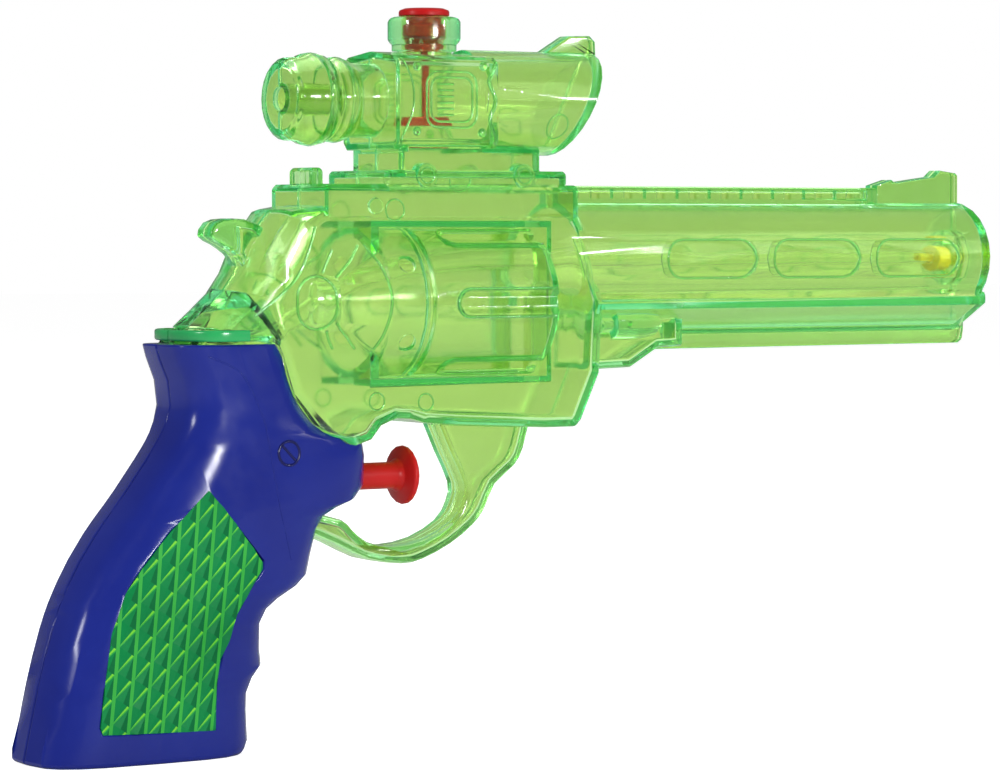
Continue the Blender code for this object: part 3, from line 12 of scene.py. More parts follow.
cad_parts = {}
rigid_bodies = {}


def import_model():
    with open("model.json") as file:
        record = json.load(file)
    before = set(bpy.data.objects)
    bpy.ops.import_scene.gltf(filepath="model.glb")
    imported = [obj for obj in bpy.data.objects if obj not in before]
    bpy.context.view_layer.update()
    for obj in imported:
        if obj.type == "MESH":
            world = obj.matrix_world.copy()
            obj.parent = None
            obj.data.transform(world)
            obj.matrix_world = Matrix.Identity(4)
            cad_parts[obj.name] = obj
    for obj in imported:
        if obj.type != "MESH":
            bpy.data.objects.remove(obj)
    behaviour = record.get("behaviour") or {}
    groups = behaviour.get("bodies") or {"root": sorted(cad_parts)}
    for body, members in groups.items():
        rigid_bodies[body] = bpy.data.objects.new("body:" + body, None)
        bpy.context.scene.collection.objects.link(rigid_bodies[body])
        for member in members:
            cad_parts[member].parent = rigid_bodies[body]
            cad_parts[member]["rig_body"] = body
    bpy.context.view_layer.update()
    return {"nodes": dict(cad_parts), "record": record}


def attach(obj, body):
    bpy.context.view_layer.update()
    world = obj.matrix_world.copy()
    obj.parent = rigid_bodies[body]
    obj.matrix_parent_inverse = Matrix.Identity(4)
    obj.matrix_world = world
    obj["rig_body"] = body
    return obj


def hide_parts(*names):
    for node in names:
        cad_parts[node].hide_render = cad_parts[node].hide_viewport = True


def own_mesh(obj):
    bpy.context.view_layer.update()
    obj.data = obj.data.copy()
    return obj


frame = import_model()
NODES = frame["nodes"]

MM = 0.001

# Camera, from the photograph's view
AIM = Vector((-0.0075, 0.0, 0.086))
CAMERA_TURN = math.radians(-33.0)
CAMERA_RISE = math.radians(2.25)
CAMERA_DISTANCE = 1.0
LENS = 144.0
SENSOR = 36.0

# Softboxes: direction from the part, distance, width and height, power, and whether gloss mirrors them
LIGHTS = {
    "key": ((0.074, -0.984, 0.164), 1.2, (0.32, 0.06), 7.0, True),
    "rim": ((-0.953, -0.046, 0.301), 1.2, (0.22, 0.22), 4.0, True),
    "spark": ((0.548, -0.798, 0.22), 1.2, (0.06, 0.06), 1.2, True),
    "side": ((-0.75, -0.7, 0.75), 1.3, (0.5, 0.5), 6.0, False),
    "fill": ((0.9, -0.8, 0.5), 1.3, (0.7, 0.7), 5.0, False),
    "top": ((0.0, 0.3, 1.2), 1.2, (0.9, 0.9), 9.0, False),
}

# Strength of the surroundings as light and as a mirror image
SURROUND = (0.30, 0.20)

# Bounces after which surroundings and floor are met as white
WHITE_DEPTH = 2.5

# Floor: half its width, its grey as it is and as gloss mirrors it, and the glow that makes it look white
FLOOR_HALF = 6.0
FLOOR_GREY = (0.82, 0.82, 0.82)
FLOOR_MIRRORED = (0.30, 0.30, 0.30)
FLOOR_ROUGH = 0.8
FLOOR_GLOW = 0.75

# Fine finish of the mouldings: distance of corners that are one, and angles of flat and of sharp edges
WELD = 1e-6
FLAT_ANGLE = math.radians(0.3)
SHARP_ANGLE = math.radians(32.0)

# Widths of rounded edges, and the room they need in widths, measured at places one step apart
EDGE_ROUND = 0.22 * MM
SLOT_EDGES = {"clear_green": 0.3 * MM, "gloss_blue": 0.45 * MM}
ROUND_CUTS = 3
EDGE_ROOM = 2.4
EDGE_STEP = 2.0 * MM

# Part of the rail with close cuts, where edges stay sharp: limits of X and of Z
RAIL_X = (8.0 * MM, 92.0 * MM)
RAIL_Z = (131.0 * MM, 138.0 * MM)

# Refraction of clear plastic
CLEAR_IOR = 1.49

# Bounces after which light goes straight through clear plastic, so that thick edges stay bright
CLEAR_DEPTH = 4.5

# Heights in metres between which the green is painted darker downwards, a painted shade
LOW_PAINTED_SHADE = (0.050, 0.085)

# Scale and detail of the noise in colour, gloss and surface, and depth of the surface's relief in metres
OPAQUE_NOISE = ((45.0, 3.0), (260.0, 4.0), (900.0, 4.0))
OPAQUE_SKIN = 0.0001
CLEAR_NOISE = ((30.0, 3.0), (220.0, 4.0), (140.0, 2.0))
CLEAR_SKIN = 0.0002
STEEL_NOISE = ((300.0, 3.0), (900.0, 4.0))

# Clear finishes: two shades, range of roughness and strength of the ripple, what thick walls take out, and
# the share of the tint kept at the bottom, where it is painted darker as painted shade
CLEAR_LOOKS = {
    "clear_green": {"dark": (0.675, 0.757, 0.338), "light": (0.71, 0.792, 0.363), "gloss": (0.08, 0.14),
                    "ripple": 0.04, "absorb": (0.0, 0.86, 0.74), "density": 105.0, "low": 0.87},
    "relief_green": {"dark": (0.38, 0.72, 0.42), "light": (0.44, 0.78, 0.46), "gloss": (0.08, 0.14),
                     "ripple": 0.03},
    "clear_tube": {"dark": (0.90, 0.93, 0.88), "light": (0.95, 0.96, 0.93), "gloss": (0.04, 0.12),
                   "ripple": 0.03},
}

# Opaque finishes: two shades, range of roughness, strength of the skin's grain, and other values
SHINE = "Specular IOR Level"
MILKY = {"Subsurface Weight": 0.1, "Subsurface Scale": 0.002}
PAD_SKIN = ((0.36, 0.50), 0.06, {SHINE: 0.06})
# Pads are one green plastic: besides the plain facets, one facet is painted darker as painted shade, and the
# grooves and a wedge are painted lighter as painted highlights
PAD_SHADES = {
    "pad_green": ((0.001, 0.11, 0.028), (0.002, 0.15, 0.038)),
    "pad_facet_painted_shade": ((0.001, 0.075, 0.020), (0.002, 0.10, 0.028)),
    "pad_groove_painted_highlight": ((0.014, 0.20, 0.025), (0.030, 0.27, 0.040)),
    "pad_wedge_painted_highlight": ((0.07, 0.32, 0.020), (0.14, 0.43, 0.030)),
}
PAD_LOOKS = list(PAD_SHADES)
OPAQUE_LOOKS = {
    "edge_green": ((0.008, 0.19, 0.052), (0.018, 0.27, 0.075), (0.14, 0.22), 0.04, {SHINE: 0.4}),
    "gloss_blue": ((0.005, 0.010, 0.125), (0.007, 0.014, 0.150), (0.15, 0.22), 0.05, {SHINE: 0.24}),
    # Darker copy of the blue for the screw's ring and slot, a painted shade of their recess
    "screw_painted_shade_blue": ((0.002, 0.003, 0.045), (0.003, 0.005, 0.060), (0.15, 0.22), 0.05, {SHINE: 0.32}),
    "red_plastic": ((0.30, 0.005, 0.006), (0.36, 0.007, 0.007), (0.28, 0.42), 0.10, {SHINE: 0.16}),
    "amber_plastic": ((0.66, 0.38, 0.02), (0.78, 0.48, 0.03), (0.22, 0.34), 0.06, MILKY),
    "white_plastic": ((0.74, 0.74, 0.71), (0.82, 0.82, 0.80), (0.34, 0.48), 0.08, MILKY),
    "black_rubber": ((0.016, 0.016, 0.017), (0.028, 0.028, 0.029), (0.55, 0.75), 0.2, {"IOR": 1.45}),
}

# Steel: two shades and range of roughness
STEEL_SHADES = ((0.45, 0.45, 0.46), (0.66, 0.66, 0.65))
STEEL_GLOSS = (0.18, 0.34)

# Drawing of the side: x along the barrel, heights from the drum's axis, both in millimetres
MIDDLE_X = 2.5
DRUM_Z = 107.0
SIDES = {"right": -1.0, "left": 1.0}

# Distance from which a side's surface is looked up, and share of a raised line's radius that is sunk in it
FAR = 60.0
SUNK = 0.4

# Checkered pads in the grip's windows
WINDOW = [(-95.8, -43.4), (-89.9, -50.2), (-81.6, -60.9), (-81.6, -62.6), (-84.8, -67.0), (-88.5, -72.8),
          (-90.7, -78.8), (-93.1, -83.2), (-94.1, -89.2), (-94.4, -100.0), (-124.0, -99.2), (-124.6, -97.4),
          (-123.2, -86.9), (-121.4, -75.8), (-117.7, -66.9), (-113.3, -61.1), (-106.1, -52.9)]
CHECK_WIDTH = 4.45
CHECK_HEIGHT = 5.4
CHECK_LEAN = 0.11
CHECK_SLOPE = 0.84
CHECK_BAR = 0.10
CHECK_LINE = 0.035
CHECK_WEDGE = 0.3
CHECK_LIFT = 0.32
CHECK_RISE = 0.4
CHECK_THICK = 0.6
CHECK_WELD = 0.01 * MM

# Counts of checks that are tried, and how far past the window a check's middle may lie
CHECK_COLUMNS = range(-40, 0)
CHECK_ROWS = range(-40, 40)
CHECK_PAST = (5.0, 6.0)

# Solid that cuts a pad to its window: where it starts across Y, and its depth
CUTTER_Y = 4.0
CUTTER_DEPTH = 20.0

# Smooth fit of the pad's surface: middle and reach of its terms, degree, places tried and their margin
FIT_MIDDLE = (-105.0, -75.0)
FIT_REACH = (20.0, 30.0)
FIT_DEGREE = 4
FIT_PLACES = (40, 50)
FIT_MARGIN = 1.0

# Cuts between two points of a smooth line: on the block, elsewhere and on the tang
BLOCK_CUTS = 4
LINE_CUTS = 5
TANG_CUTS = 6

# Steps of a half circle and of a frame's rounded corner
HALF_STEPS = 12
CORNER_STEPS = 5

# Fineness of the round sections of raised lines and of the tang's lip
LINE_FINENESS = 2
TANG_FINENESS = 3

# Rims of the barrel's recesses and of the drum's flutes
SLOT_MIDDLES = [116.9, 83.5, 50.1]
SLOT_H = 10.4
SLOT_SIZE = (27.9, 9.8)
SLOT_RIM_R = 0.34
FLUTE_FRONT_X = -0.2
FLUTE_REAR_X = -25.6
FLUTE_HALF = 3.5
FLUTE_RIM_R = 0.38
FLUTE_TURNS = (-60.0, 0.0, 60.0)
DRUM_R = 18.9

# Relief on the scope's block
BLOCK_LINE_R = 0.32
BLOCK_MIDDLE = (-27.1, 49.5)
BLOCK_FRAMES = [(14.4, 13.6, 3.2), (11.8, 10.8, 2.4)]
RIVETS = [(-37.2, 57.4), (-18.1, 57.7), (-37.2, 41.7), (-18.4, 41.5)]
RIVET_R = 1.15
RIVET_FLAT = 0.7
RIVET_CUTS = (16, 10)
PANEL_EDGE = [(-41.4, 59.6), (-38.4, 53.9), (-38.1, 47.6), (-39.6, 43.4), (-41.5, 39.9), (-41.4, 38.6)]
WAVE_EDGE = [(-14.4, 59.4), (-14.4, 58.2), (-15.8, 55.4), (-16.2, 53.8), (-14.8, 50.6), (-14.8, 48.0),
             (-15.9, 45.3), (-15.6, 43.2), (-14.4, 40.4), (-14.4, 38.8)]
WAVE_R = 0.6
RIB_ROWS = 6
RIB_PITCH = 1.5
RIB_SPAN = (-31.2, -26.6)

# Relief on the frame's side behind the drum
HUB_LINE_R = 0.40
HUB_RING = (-66.1, 0.4)
HUB_RING_SIZE = (10.1, 12.8)
HUB_RING_ROUND = 5.04
HUB_RIBS = [[(-61.6, 13.0), (-62.8, 10.6), (-64.3, 7.4)], [(-63.2, -6.4), (-62.6, -8.5), (-61.5, -10.7)]]
FAN_EDGES = [[(-60.6, 6.4), (-56.7, 10.3), (-54.5, 14.1)], [(-60.9, -4.5), (-58.1, -7.3), (-55.3, -10.8)]]
FAN_ARC = [(-52.8, 14.4), (-49.9, 11.0), (-48.5, 5.5), (-48.1, 0.0), (-49.0, -7.0), (-50.3, -10.9)]
SHOULDER = [(-66.3, 18.6), (-67.8, 13.4), (-71.0, 6.8), (-76.3, 1.9), (-82.6, -2.7)]

# Relief on the scope's base, the strap, the frame and the hood
PIN_LINE_R = 0.24
KNOBS = [(-35.4, 31.0), (-7.2, 31.0)]
KNOB_RING_R = 1.9
HOOD_RING = (4.6, 43.4)
HOOD_RING_R = 3.0
BASE_BOSS = (-25.7, 30.1)
BASE_BOSS_R = 3.0
STRAP_RING = (-44.1, 22.6)
STRAP_RING_R = 2.6
FRAME_PINS = [(-49.1, -23.6), (-35.2, -24.1)]
FRAME_PIN_R = 2.1

# Lip round the tang's ledge over the grip, one half of its path as (x, y)
TANG_PATH = [(-98.3, 0.2), (-98.3, 4.0), (-97.0, 9.0), (-94.2, 13.0), (-91.0, 14.4), (-85.0, 14.5)]
TANG_H = -7.2
TANG_EDGE = 0.6
TANG_FLAT = 0.75

# Relief on the grip covers: a screw with its slot, as a share of its radius, and two creases
SCREW = (-74.2, -35.3)
SCREW_R = 2.9
SCREW_SLOT = 0.62
SCREW_LINE_R = 0.40
PALM_CREASE = [(-95.0, -12.0), (-87.2, -15.7), (-82.9, -22.4), (-80.2, -29.6), (-78.6, -39.1), (-76.7, -48.7),
               (-73.2, -60.8)]
BACK_CREASE = [(-100.4, -14.6), (-101.2, -18.4), (-102.7, -23.1), (-105.6, -27.9), (-108.3, -32.5)]
CREASE_R = 0.22


# Materials

def new_material(name):
    """Material with an empty node tree, and its output node."""
    made = bpy.data.materials.new(name)
    made.use_nodes = True
    tree = made.node_tree
    tree.nodes.clear()
    return made, tree, tree.nodes.new("ShaderNodeOutputMaterial")


def principled(tree, values):
    """Principled shader with plain values on its own sockets."""
    shader = tree.nodes.new("ShaderNodeBsdfPrincipled")
    for name, value in values.items():
        shader.inputs[name].default_value = value
    return shader


def noise(tree, scale, detail):
    """Noise in the part's own metres."""
    place = tree.nodes.new("ShaderNodeTexCoord")
    made = tree.nodes.new("ShaderNodeTexNoise")
    made.inputs["Scale"].default_value = scale
    made.inputs["Detail"].default_value = detail
    tree.links.new(place.outputs["Object"], made.inputs["Vector"])
    return made.outputs["Fac"]


def spread(tree, value, low, high, start=0.3, end=0.7):
    """Map a value to a range; the usual limits are those of noise."""
    made = tree.nodes.new("ShaderNodeMapRange")
    for name, number in (("From Min", start), ("From Max", end), ("To Min", low), ("To Max", high)):
        made.inputs[name].default_value = number
    tree.links.new(value, made.inputs["Value"])
    return made.outputs["Result"]


def shade(tree, value, dark, light):
    """Colour between two shades."""
    made = tree.nodes.new("ShaderNodeMix")
    made.data_type = "RGBA"
    made.inputs["A"].default_value = (*dark, 1.0)
    made.inputs["B"].default_value = (*light, 1.0)
    tree.links.new(value, made.inputs["Factor"])
    return made.outputs["Result"]


def bump(tree, height, strength, distance):
    """Normal of a surface with a fine relief."""
    made = tree.nodes.new("ShaderNodeBump")
    made.inputs["Strength"].default_value = strength
    made.inputs["Distance"].default_value = distance
    tree.links.new(height, made.inputs["Height"])
    return made.outputs["Normal"]


def largest(tree, *values):
    """Largest of some values."""
    best = values[0]
    for value in values[1:]:
        made = tree.nodes.new("ShaderNodeMath")
        made.operation = "MAXIMUM"
        tree.links.new(best, made.inputs[0])
        tree.links.new(value, made.inputs[1])
        best = made.outputs["Value"]
    return best


def deeper(tree, path, bounces):
    """One for light that has bounced more often than a number of times."""
    made = tree.nodes.new("ShaderNodeMath")
    made.operation = "GREATER_THAN"
    made.inputs[1].default_value = bounces
    tree.links.new(path.outputs["Ray Depth"], made.inputs[0])
    return made.outputs["Value"]


def part_height(tree):
    """Height in the part's own metres."""
    place = tree.nodes.new("ShaderNodeTexCoord")
    parts = tree.nodes.new("ShaderNodeSeparateXYZ")
    tree.links.new(place.outputs["Object"], parts.inputs["Vector"])
    return parts.outputs["Z"]


def opaque_plastic(name, dark, light, gloss, grain, values):
    """Moulded plastic with slow colour drift, uneven gloss and a faint moulded skin."""
    made, tree, output = new_material(name)
    shader = principled(tree, values)
    drift, uneven, skin = OPAQUE_NOISE
    tone = shade(tree, spread(tree, noise(tree, *drift), 0.0, 1.0), dark, light)
    tree.links.new(tone, shader.inputs["Base Color"])
    tree.links.new(spread(tree, noise(tree, *uneven), *gloss), shader.inputs["Roughness"])
    tree.links.new(bump(tree, noise(tree, *skin), grain, OPAQUE_SKIN), shader.inputs["Normal"])
    tree.links.new(shader.outputs["BSDF"], output.inputs["Surface"])
    return made


def clear_plastic(name, dark, light, gloss, ripple, absorb=None, density=0.0, low=1.0):
    """See-through plastic: tinted glass, painted darker low down as painted shade, that lets light through in
    its shadow.
    """
    made, tree, output = new_material(name)
    shader = principled(tree, {"Transmission Weight": 1.0, "IOR": CLEAR_IOR})
    drift, uneven, skin = CLEAR_NOISE
    tint = shade(tree, spread(tree, noise(tree, *drift), 0.0, 1.0), dark, light)
    depth = tree.nodes.new("ShaderNodeVectorMath")
    depth.operation = "SCALE"
    tree.links.new(tint, depth.inputs["Vector"])
    # The tint is painted darker towards the bottom, a painted shade
    tree.links.new(spread(tree, part_height(tree), low, 1.0, *LOW_PAINTED_SHADE), depth.inputs["Scale"])
    tree.links.new(depth.outputs["Vector"], shader.inputs["Base Color"])
    tree.links.new(spread(tree, noise(tree, *uneven), *gloss), shader.inputs["Roughness"])
    tree.links.new(bump(tree, noise(tree, *skin), ripple, CLEAR_SKIN), shader.inputs["Normal"])
    through = tree.nodes.new("ShaderNodeBsdfTransparent")
    through.inputs["Color"].default_value = (*(math.sqrt(part) for part in light), 1.0)
    path = tree.nodes.new("ShaderNodeLightPath")
    either = tree.nodes.new("ShaderNodeMixShader")
    straight = largest(tree, path.outputs["Is Shadow Ray"], deeper(tree, path, CLEAR_DEPTH))
    tree.links.new(straight, either.inputs["Fac"])
    tree.links.new(shader.outputs["BSDF"], either.inputs[1])
    tree.links.new(through.outputs["BSDF"], either.inputs[2])
    tree.links.new(either.outputs["Shader"], output.inputs["Surface"])
    if absorb:
        filling = tree.nodes.new("ShaderNodeVolumeAbsorption")
        filling.inputs["Color"].default_value = (*absorb, 1.0)
        filling.inputs["Density"].default_value = density
        tree.links.new(filling.outputs["Volume"], output.inputs["Volume"])
    return made


def brushed_steel(name):
    """Bright metal with uneven tone and gloss."""
    made, tree, output = new_material(name)
    shader = principled(tree, {"Metallic": 1.0})
    drift, uneven = STEEL_NOISE
    tone = shade(tree, spread(tree, noise(tree, *drift), 0.0, 1.0), *STEEL_SHADES)
    tree.links.new(tone, shader.inputs["Base Color"])
    tree.links.new(spread(tree, noise(tree, *uneven), *STEEL_GLOSS), shader.inputs["Roughness"])
    tree.links.new(shader.outputs["BSDF"], output.inputs["Surface"])
    return made


def make_materials():
    """All finishes, by name."""
    made = {name: clear_plastic(name, **values) for name, values in CLEAR_LOOKS.items()}
    for name, values in OPAQUE_LOOKS.items():
        made[name] = opaque_plastic(name, *values)
    for name, shades in PAD_SHADES.items():
        made[name] = opaque_plastic(name, *shades, *PAD_SKIN)
    made["spring_steel"] = brushed_steel("spring_steel")
    return made


# Pieces

def placed(name, data):
    """New object in the scene."""
    made = bpy.data.objects.new(name, data)
    bpy.context.scene.collection.objects.link(made)
    return made


def refined(node, look, edge):
    """Finer copy of a CAD node: welded, smooth where it is round, with edges rounded where there is room."""
    source = NODES[node]
    mesh = source.data.copy()
    bm = bmesh.new()
    bm.from_mesh(mesh)
    bmesh.ops.remove_doubles(bm, verts=bm.verts, dist=WELD)
    bmesh.ops.dissolve_limit(bm, angle_limit=FLAT_ANGLE, verts=bm.verts, edges=bm.edges)
    weigh_edges(bm, edge)
    bm.to_mesh(mesh)
    bm.free()
    if mesh.has_custom_normals:
        mesh.attributes.remove(mesh.attributes["custom_normal"])
    mesh.shade_smooth()
    mesh.set_sharp_from_angle(angle=SHARP_ANGLE)
    mesh.materials.clear()
    mesh.materials.append(look)
    made = placed(node + "_finish", mesh)
    rounding = made.modifiers.new("rounding", "BEVEL")
    rounding.width = edge
    rounding.segments = ROUND_CUTS
    rounding.limit_method = "WEIGHT"
    rounding.use_clamp_overlap = False
    normals = made.modifiers.new("normals", "WEIGHTED_NORMAL")
    normals.keep_sharp = True
    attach(made, source["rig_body"])
    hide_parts(node)
    return made


def weigh_edges(bm, width):
    """Mark the sharp edges, off the rail, that have room for a rounding of one width."""
    weight = bm.edges.layers.float.new("bevel_weight_edge")
    for line in bm.edges:
        sharp = line.is_manifold and line.calc_face_angle() > SHARP_ANGLE
        line[weight] = float(sharp and not on_rail(line) and edge_room(line) > EDGE_ROOM * width)


def on_rail(line):
    """Whether an edge belongs to the rail's close cuts."""
    return all(RAIL_X[0] < corner.co.x < RAIL_X[1] and RAIL_Z[0] < corner.co.z < RAIL_Z[1]
               for corner in line.verts)


def edge_room(line):
    """Least length of an edge's neighbours, or least distance to the other edges of its two faces."""
    start, end = (corner.co for corner in line.verts)
    least = min(other.calc_length() for corner in line.verts for other in corner.link_edges)
    count = max(1, round(line.calc_length() / EDGE_STEP))
    places = [start.lerp(end, (k + 0.5) / count) for k in range(count)]
    for face in line.link_faces:
        for other in face.edges:
            if not set(other.verts) & set(line.verts):
                a, b = (corner.co for corner in other.verts)
                for place in places:
                    share = intersect_point_line(place, a, b)[1]
                    least = min(least, (a.lerp(b, min(max(share, 0.0), 1.0)) - place).length)
    return least


def dress_nodes(looks):
    """Refined copies of all nodes, each with the finish of its slot. The spring keeps plain edges."""
    made = {}
    for row in frame["record"]["subparts"]:
        node, slot = row["node"], row["material_slot"]
        made[node] = refined(node, looks[slot], SLOT_EDGES.get(slot, EDGE_ROUND))
    spring = made["return_spring"]
    spring.modifiers.clear()
    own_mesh(spring)


# Lines of the drawing

def spot(x, y, h):
    """Place in the frame of a point of the drawing."""
    return Vector((x - MIDDLE_X, y, DRUM_Z + h)) * MM


def curve_through(points, cuts):
    """Catmull-Rom curve through points of the drawing."""
    made = []
    last = len(points) - 1
    for i in range(last):
        p0, p1, p2, p3 = (Vector(points[min(max(k, 0), last)]) for k in (i - 1, i, i + 1, i + 2))
        for step in range(cuts):
            t = step / cuts
            made.append(tuple(0.5 * (2 * p1 + (p2 - p0) * t + (2 * p0 - 5 * p1 + 4 * p2 - p3) * t * t
                                     + (3 * p1 - p0 - 3 * p2 + p3) * t ** 3)))
    return made + [tuple(points[-1])]


def circle(centre, radius, start=0.0, end=360.0, steps=24):
    """Points on an arc of the drawing, angles in degrees."""
    turns = [math.radians(start + (end - start) * k / steps) for k in range(steps + 1)]
    return [(centre[0] + radius * math.cos(a), centre[1] + radius * math.sin(a)) for a in turns]


def rounded_frame(centre, width, height, radius):
    """Rounded rectangle of the drawing, closed on itself."""
    x, h = width / 2 - radius, height / 2 - radius
    points = []
    for sx, sh, start in ((x, h, 0.0), (-x, h, 90.0), (-x, -h, 180.0), (x, -h, 270.0)):
        points += circle((centre[0] + sx, centre[1] + sh), radius, start, start + 90.0, CORNER_STEPS)
    return points + points[:1]


def block_lines():
    """Panel edge, double frame and ribs of the scope's block."""
    lines = [curve_through(PANEL_EDGE, BLOCK_CUTS)]
    for width, height, radius in BLOCK_FRAMES:
        lines.append(rounded_frame(BLOCK_MIDDLE, width, height, radius))
    for row in range(RIB_ROWS):
        h = BLOCK_MIDDLE[1] + (row - (RIB_ROWS - 1) / 2) * RIB_PITCH
        lines.append([(RIB_SPAN[0], h), (RIB_SPAN[1], h)])
    return lines


def pin_lines():
    """Rings on the base, the strap, the frame and the hood, and the base's half ring."""
    lines = [circle(BASE_BOSS, BASE_BOSS_R, 180.0, 360.0, HALF_STEPS), circle(STRAP_RING, STRAP_RING_R)]
    lines += [circle(pin, FRAME_PIN_R) for pin in FRAME_PINS]
    lines += [circle(knob, KNOB_RING_R) for knob in KNOBS]
    return lines + [circle(HOOD_RING, HOOD_RING_R)]


def hub_lines():
    """Ring, ribs and fan on the frame's side, and the ridge of its shoulder."""
    lines = [rounded_frame(HUB_RING, *HUB_RING_SIZE, HUB_RING_ROUND)]
    return lines + [curve_through(line, LINE_CUTS) for line in HUB_RIBS + FAN_EDGES + [FAN_ARC, SHOULDER]]


def slot_lines():
    """Rims round the barrel's recesses."""
    return [rounded_frame((x, SLOT_H), *SLOT_SIZE, SLOT_SIZE[1] / 2) for x in SLOT_MIDDLES]


def flute_lines():
    """Rims round the drum's flutes, open at the front."""
    lines = []
    for turn in FLUTE_TURNS:
        around = [(FLUTE_FRONT_X, FLUTE_HALF)]
        around += circle((FLUTE_REAR_X, 0.0), FLUTE_HALF, 90.0, 270.0, HALF_STEPS)
        around.append((FLUTE_FRONT_X, -FLUTE_HALF))
        lines.append([(x, DRUM_R * math.sin(math.radians(turn) + s / DRUM_R)) for x, s in around])
    return lines


def screw_lines():
    """Slotted screw head in relief."""
    x, h = SCREW
    reach = SCREW_R * SCREW_SLOT
    return [circle(SCREW, SCREW_R), [(x - reach, h + reach), (x + reach, h - reach)]]


# Moulded detail

def surface(node):
    """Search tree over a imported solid, in the frame."""
    piece = NODES[node]
    corners = [piece.matrix_world @ v.co for v in piece.data.vertices]
    return BVHTree.FromPolygons(corners, [tuple(f.vertices) for f in piece.data.polygons])


def drop(tree, x, h, side):
    """Point and normal of a side's surface at a place of the drawing."""
    hit = tree.ray_cast(spot(x, side * FAR, h), Vector((0.0, -side, 0.0)))
    return hit[0], hit[1]


def dressed(name, mesh, looks, node):
    """Object of a finished mesh that goes with a node."""
    if not mesh.materials:
        for look in looks:
            mesh.materials.append(look)
    made = placed(name, mesh)
    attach(made, NODES[node]["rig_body"])


def final_mesh(helper):
    """Mesh of a helper object with all that shapes it, after which the helper is removed."""
    bpy.context.view_layer.update()
    mesh = bpy.data.meshes.new_from_object(helper.evaluated_get(bpy.context.evaluated_depsgraph_get()))
    bpy.data.objects.remove(helper)
    return mesh


def new_curve(name, dimensions, radius, fineness):
    """Curve with a round edge or section and closed ends."""
    data = bpy.data.curves.new(name, "CURVE")
    data.dimensions = dimensions
    data.bevel_depth = radius * MM
    data.bevel_resolution = fineness
    data.use_fill_caps = True
    return data


def add_line(data, places):
    """Straight stretches through places, in a curve."""
    spline = data.splines.new("POLY")
    spline.points.add(len(places) - 1)
    for point, place in zip(spline.points, places):
        point.co = (*place, 1.0)


def moulded_lines(name, node, side, lines, radius, look):
    """Fine raised lines on one side of a solid, partly sunk into it."""
    tree = surface(node)
    data = new_curve(name, "3D", radius, LINE_FINENESS)
    for line in lines:
        hits = [drop(tree, x, h, side) for x, h in line]
        add_line(data, [hit - normal * radius * SUNK * MM for hit, normal in hits if hit])
    dressed(name, final_mesh(placed(name + "_path", data)), [look], node)


def tang_lip(name, node, side, look):
    """Rounded lip along one half of the tang's ledge."""
    data = new_curve(name, "2D", TANG_EDGE, TANG_FINENESS)
    data.fill_mode = "NONE"
    data.extrude = TANG_FLAT * MM
    places = [spot(x, side * y, TANG_H) for x, y in curve_through(TANG_PATH, TANG_CUTS)]
    add_line(data, [(place.x, place.y, 0.0) for place in places])
    mesh = final_mesh(placed(name + "_path", data))
    mesh.transform(Matrix.Translation((0.0, 0.0, places[0].z)))
    mesh.shade_smooth()
    mesh.set_sharp_from_angle(angle=SHARP_ANGLE)
    dressed(name, mesh, [look], node)


def rivets(name, node, side, look):
    """Low domes in the corners of the block's panel."""
    tree = surface(node)
    around, up = RIVET_CUTS
    flat = Matrix.Diagonal((RIVET_R * MM, RIVET_R * RIVET_FLAT * MM, RIVET_R * MM, 1.0))
    bm = bmesh.new()
    for x, h in RIVETS:
        hit, _ = drop(tree, x, h, side)
        bmesh.ops.create_uvsphere(bm, u_segments=around, v_segments=up, radius=1.0,
                                  matrix=Matrix.Translation(hit) @ flat)
    mesh = bpy.data.meshes.new(name)
    bm.to_mesh(mesh)
    bm.free()
    mesh.shade_smooth()
    dressed(name, mesh, [look], node)


# Checkered pads

def pad_surface(tree, side):
    """Smooth fit of the pad's surface, as the distance across Y at a place of the drawing."""
    places, depths = [], []
    xs, hs = zip(*WINDOW)
    for x in np.linspace(min(xs), max(xs), FIT_PLACES[0]):
        for h in np.linspace(min(hs), max(hs), FIT_PLACES[1]):
            if inside(WINDOW, x, h, FIT_MARGIN):
                places.append(fit_terms(x, h))
                depths.append(abs(drop(tree, x, h, side)[0].y) / MM)
    weights = np.linalg.lstsq(np.array(places), np.array(depths), rcond=None)[0]
    return lambda x, h: float(np.dot(fit_terms(x, h), weights))


def fit_terms(x, h):
    """Terms of a polynomial about the pad's middle."""
    a, b = ((value - middle) / reach for value, middle, reach in zip((x, h), FIT_MIDDLE, FIT_REACH))
    return [a ** i * b ** j for i in range(FIT_DEGREE + 1) for j in range(FIT_DEGREE + 1 - i)]


def inside(outline, x, h, margin):
    """Whether a place lies in an outline, clear of its edges by a margin."""
    odd = False
    for (ax, ah), (bx, bh) in zip(outline, outline[1:] + outline[:1]):
        if (ah > h) != (bh > h) and x < ax + (bx - ax) * (h - ah) / (bh - ah):
            odd = not odd
        along = Vector((bx - ax, bh - ah))
        share = max(0.0, min(1.0, Vector((x - ax, h - ah)).dot(along) / along.length_squared))
        if (Vector((x - ax, h - ah)) - along * share).length < margin:
            return False
    return odd


def check_place(a, b):
    """Place of the drawing for coordinates counted in checks."""
    x = (CHECK_WIDTH * a + CHECK_LEAN * CHECK_HEIGHT * b) / (1 - CHECK_LEAN * CHECK_SLOPE)
    return x, CHECK_HEIGHT * b + CHECK_SLOPE * x


def check_grid():
    cells = []
    xs, hs = zip(*WINDOW)
    past_x, past_h = CHECK_PAST
    for a in CHECK_COLUMNS:
        for b in CHECK_ROWS:
            x, h = check_place(a + 0.5, b + 0.5)
            if min(xs) - past_x < x < max(xs) + past_x and min(hs) - past_h < h < max(hs) + past_h:
                cells.append((a, b))
    return cells


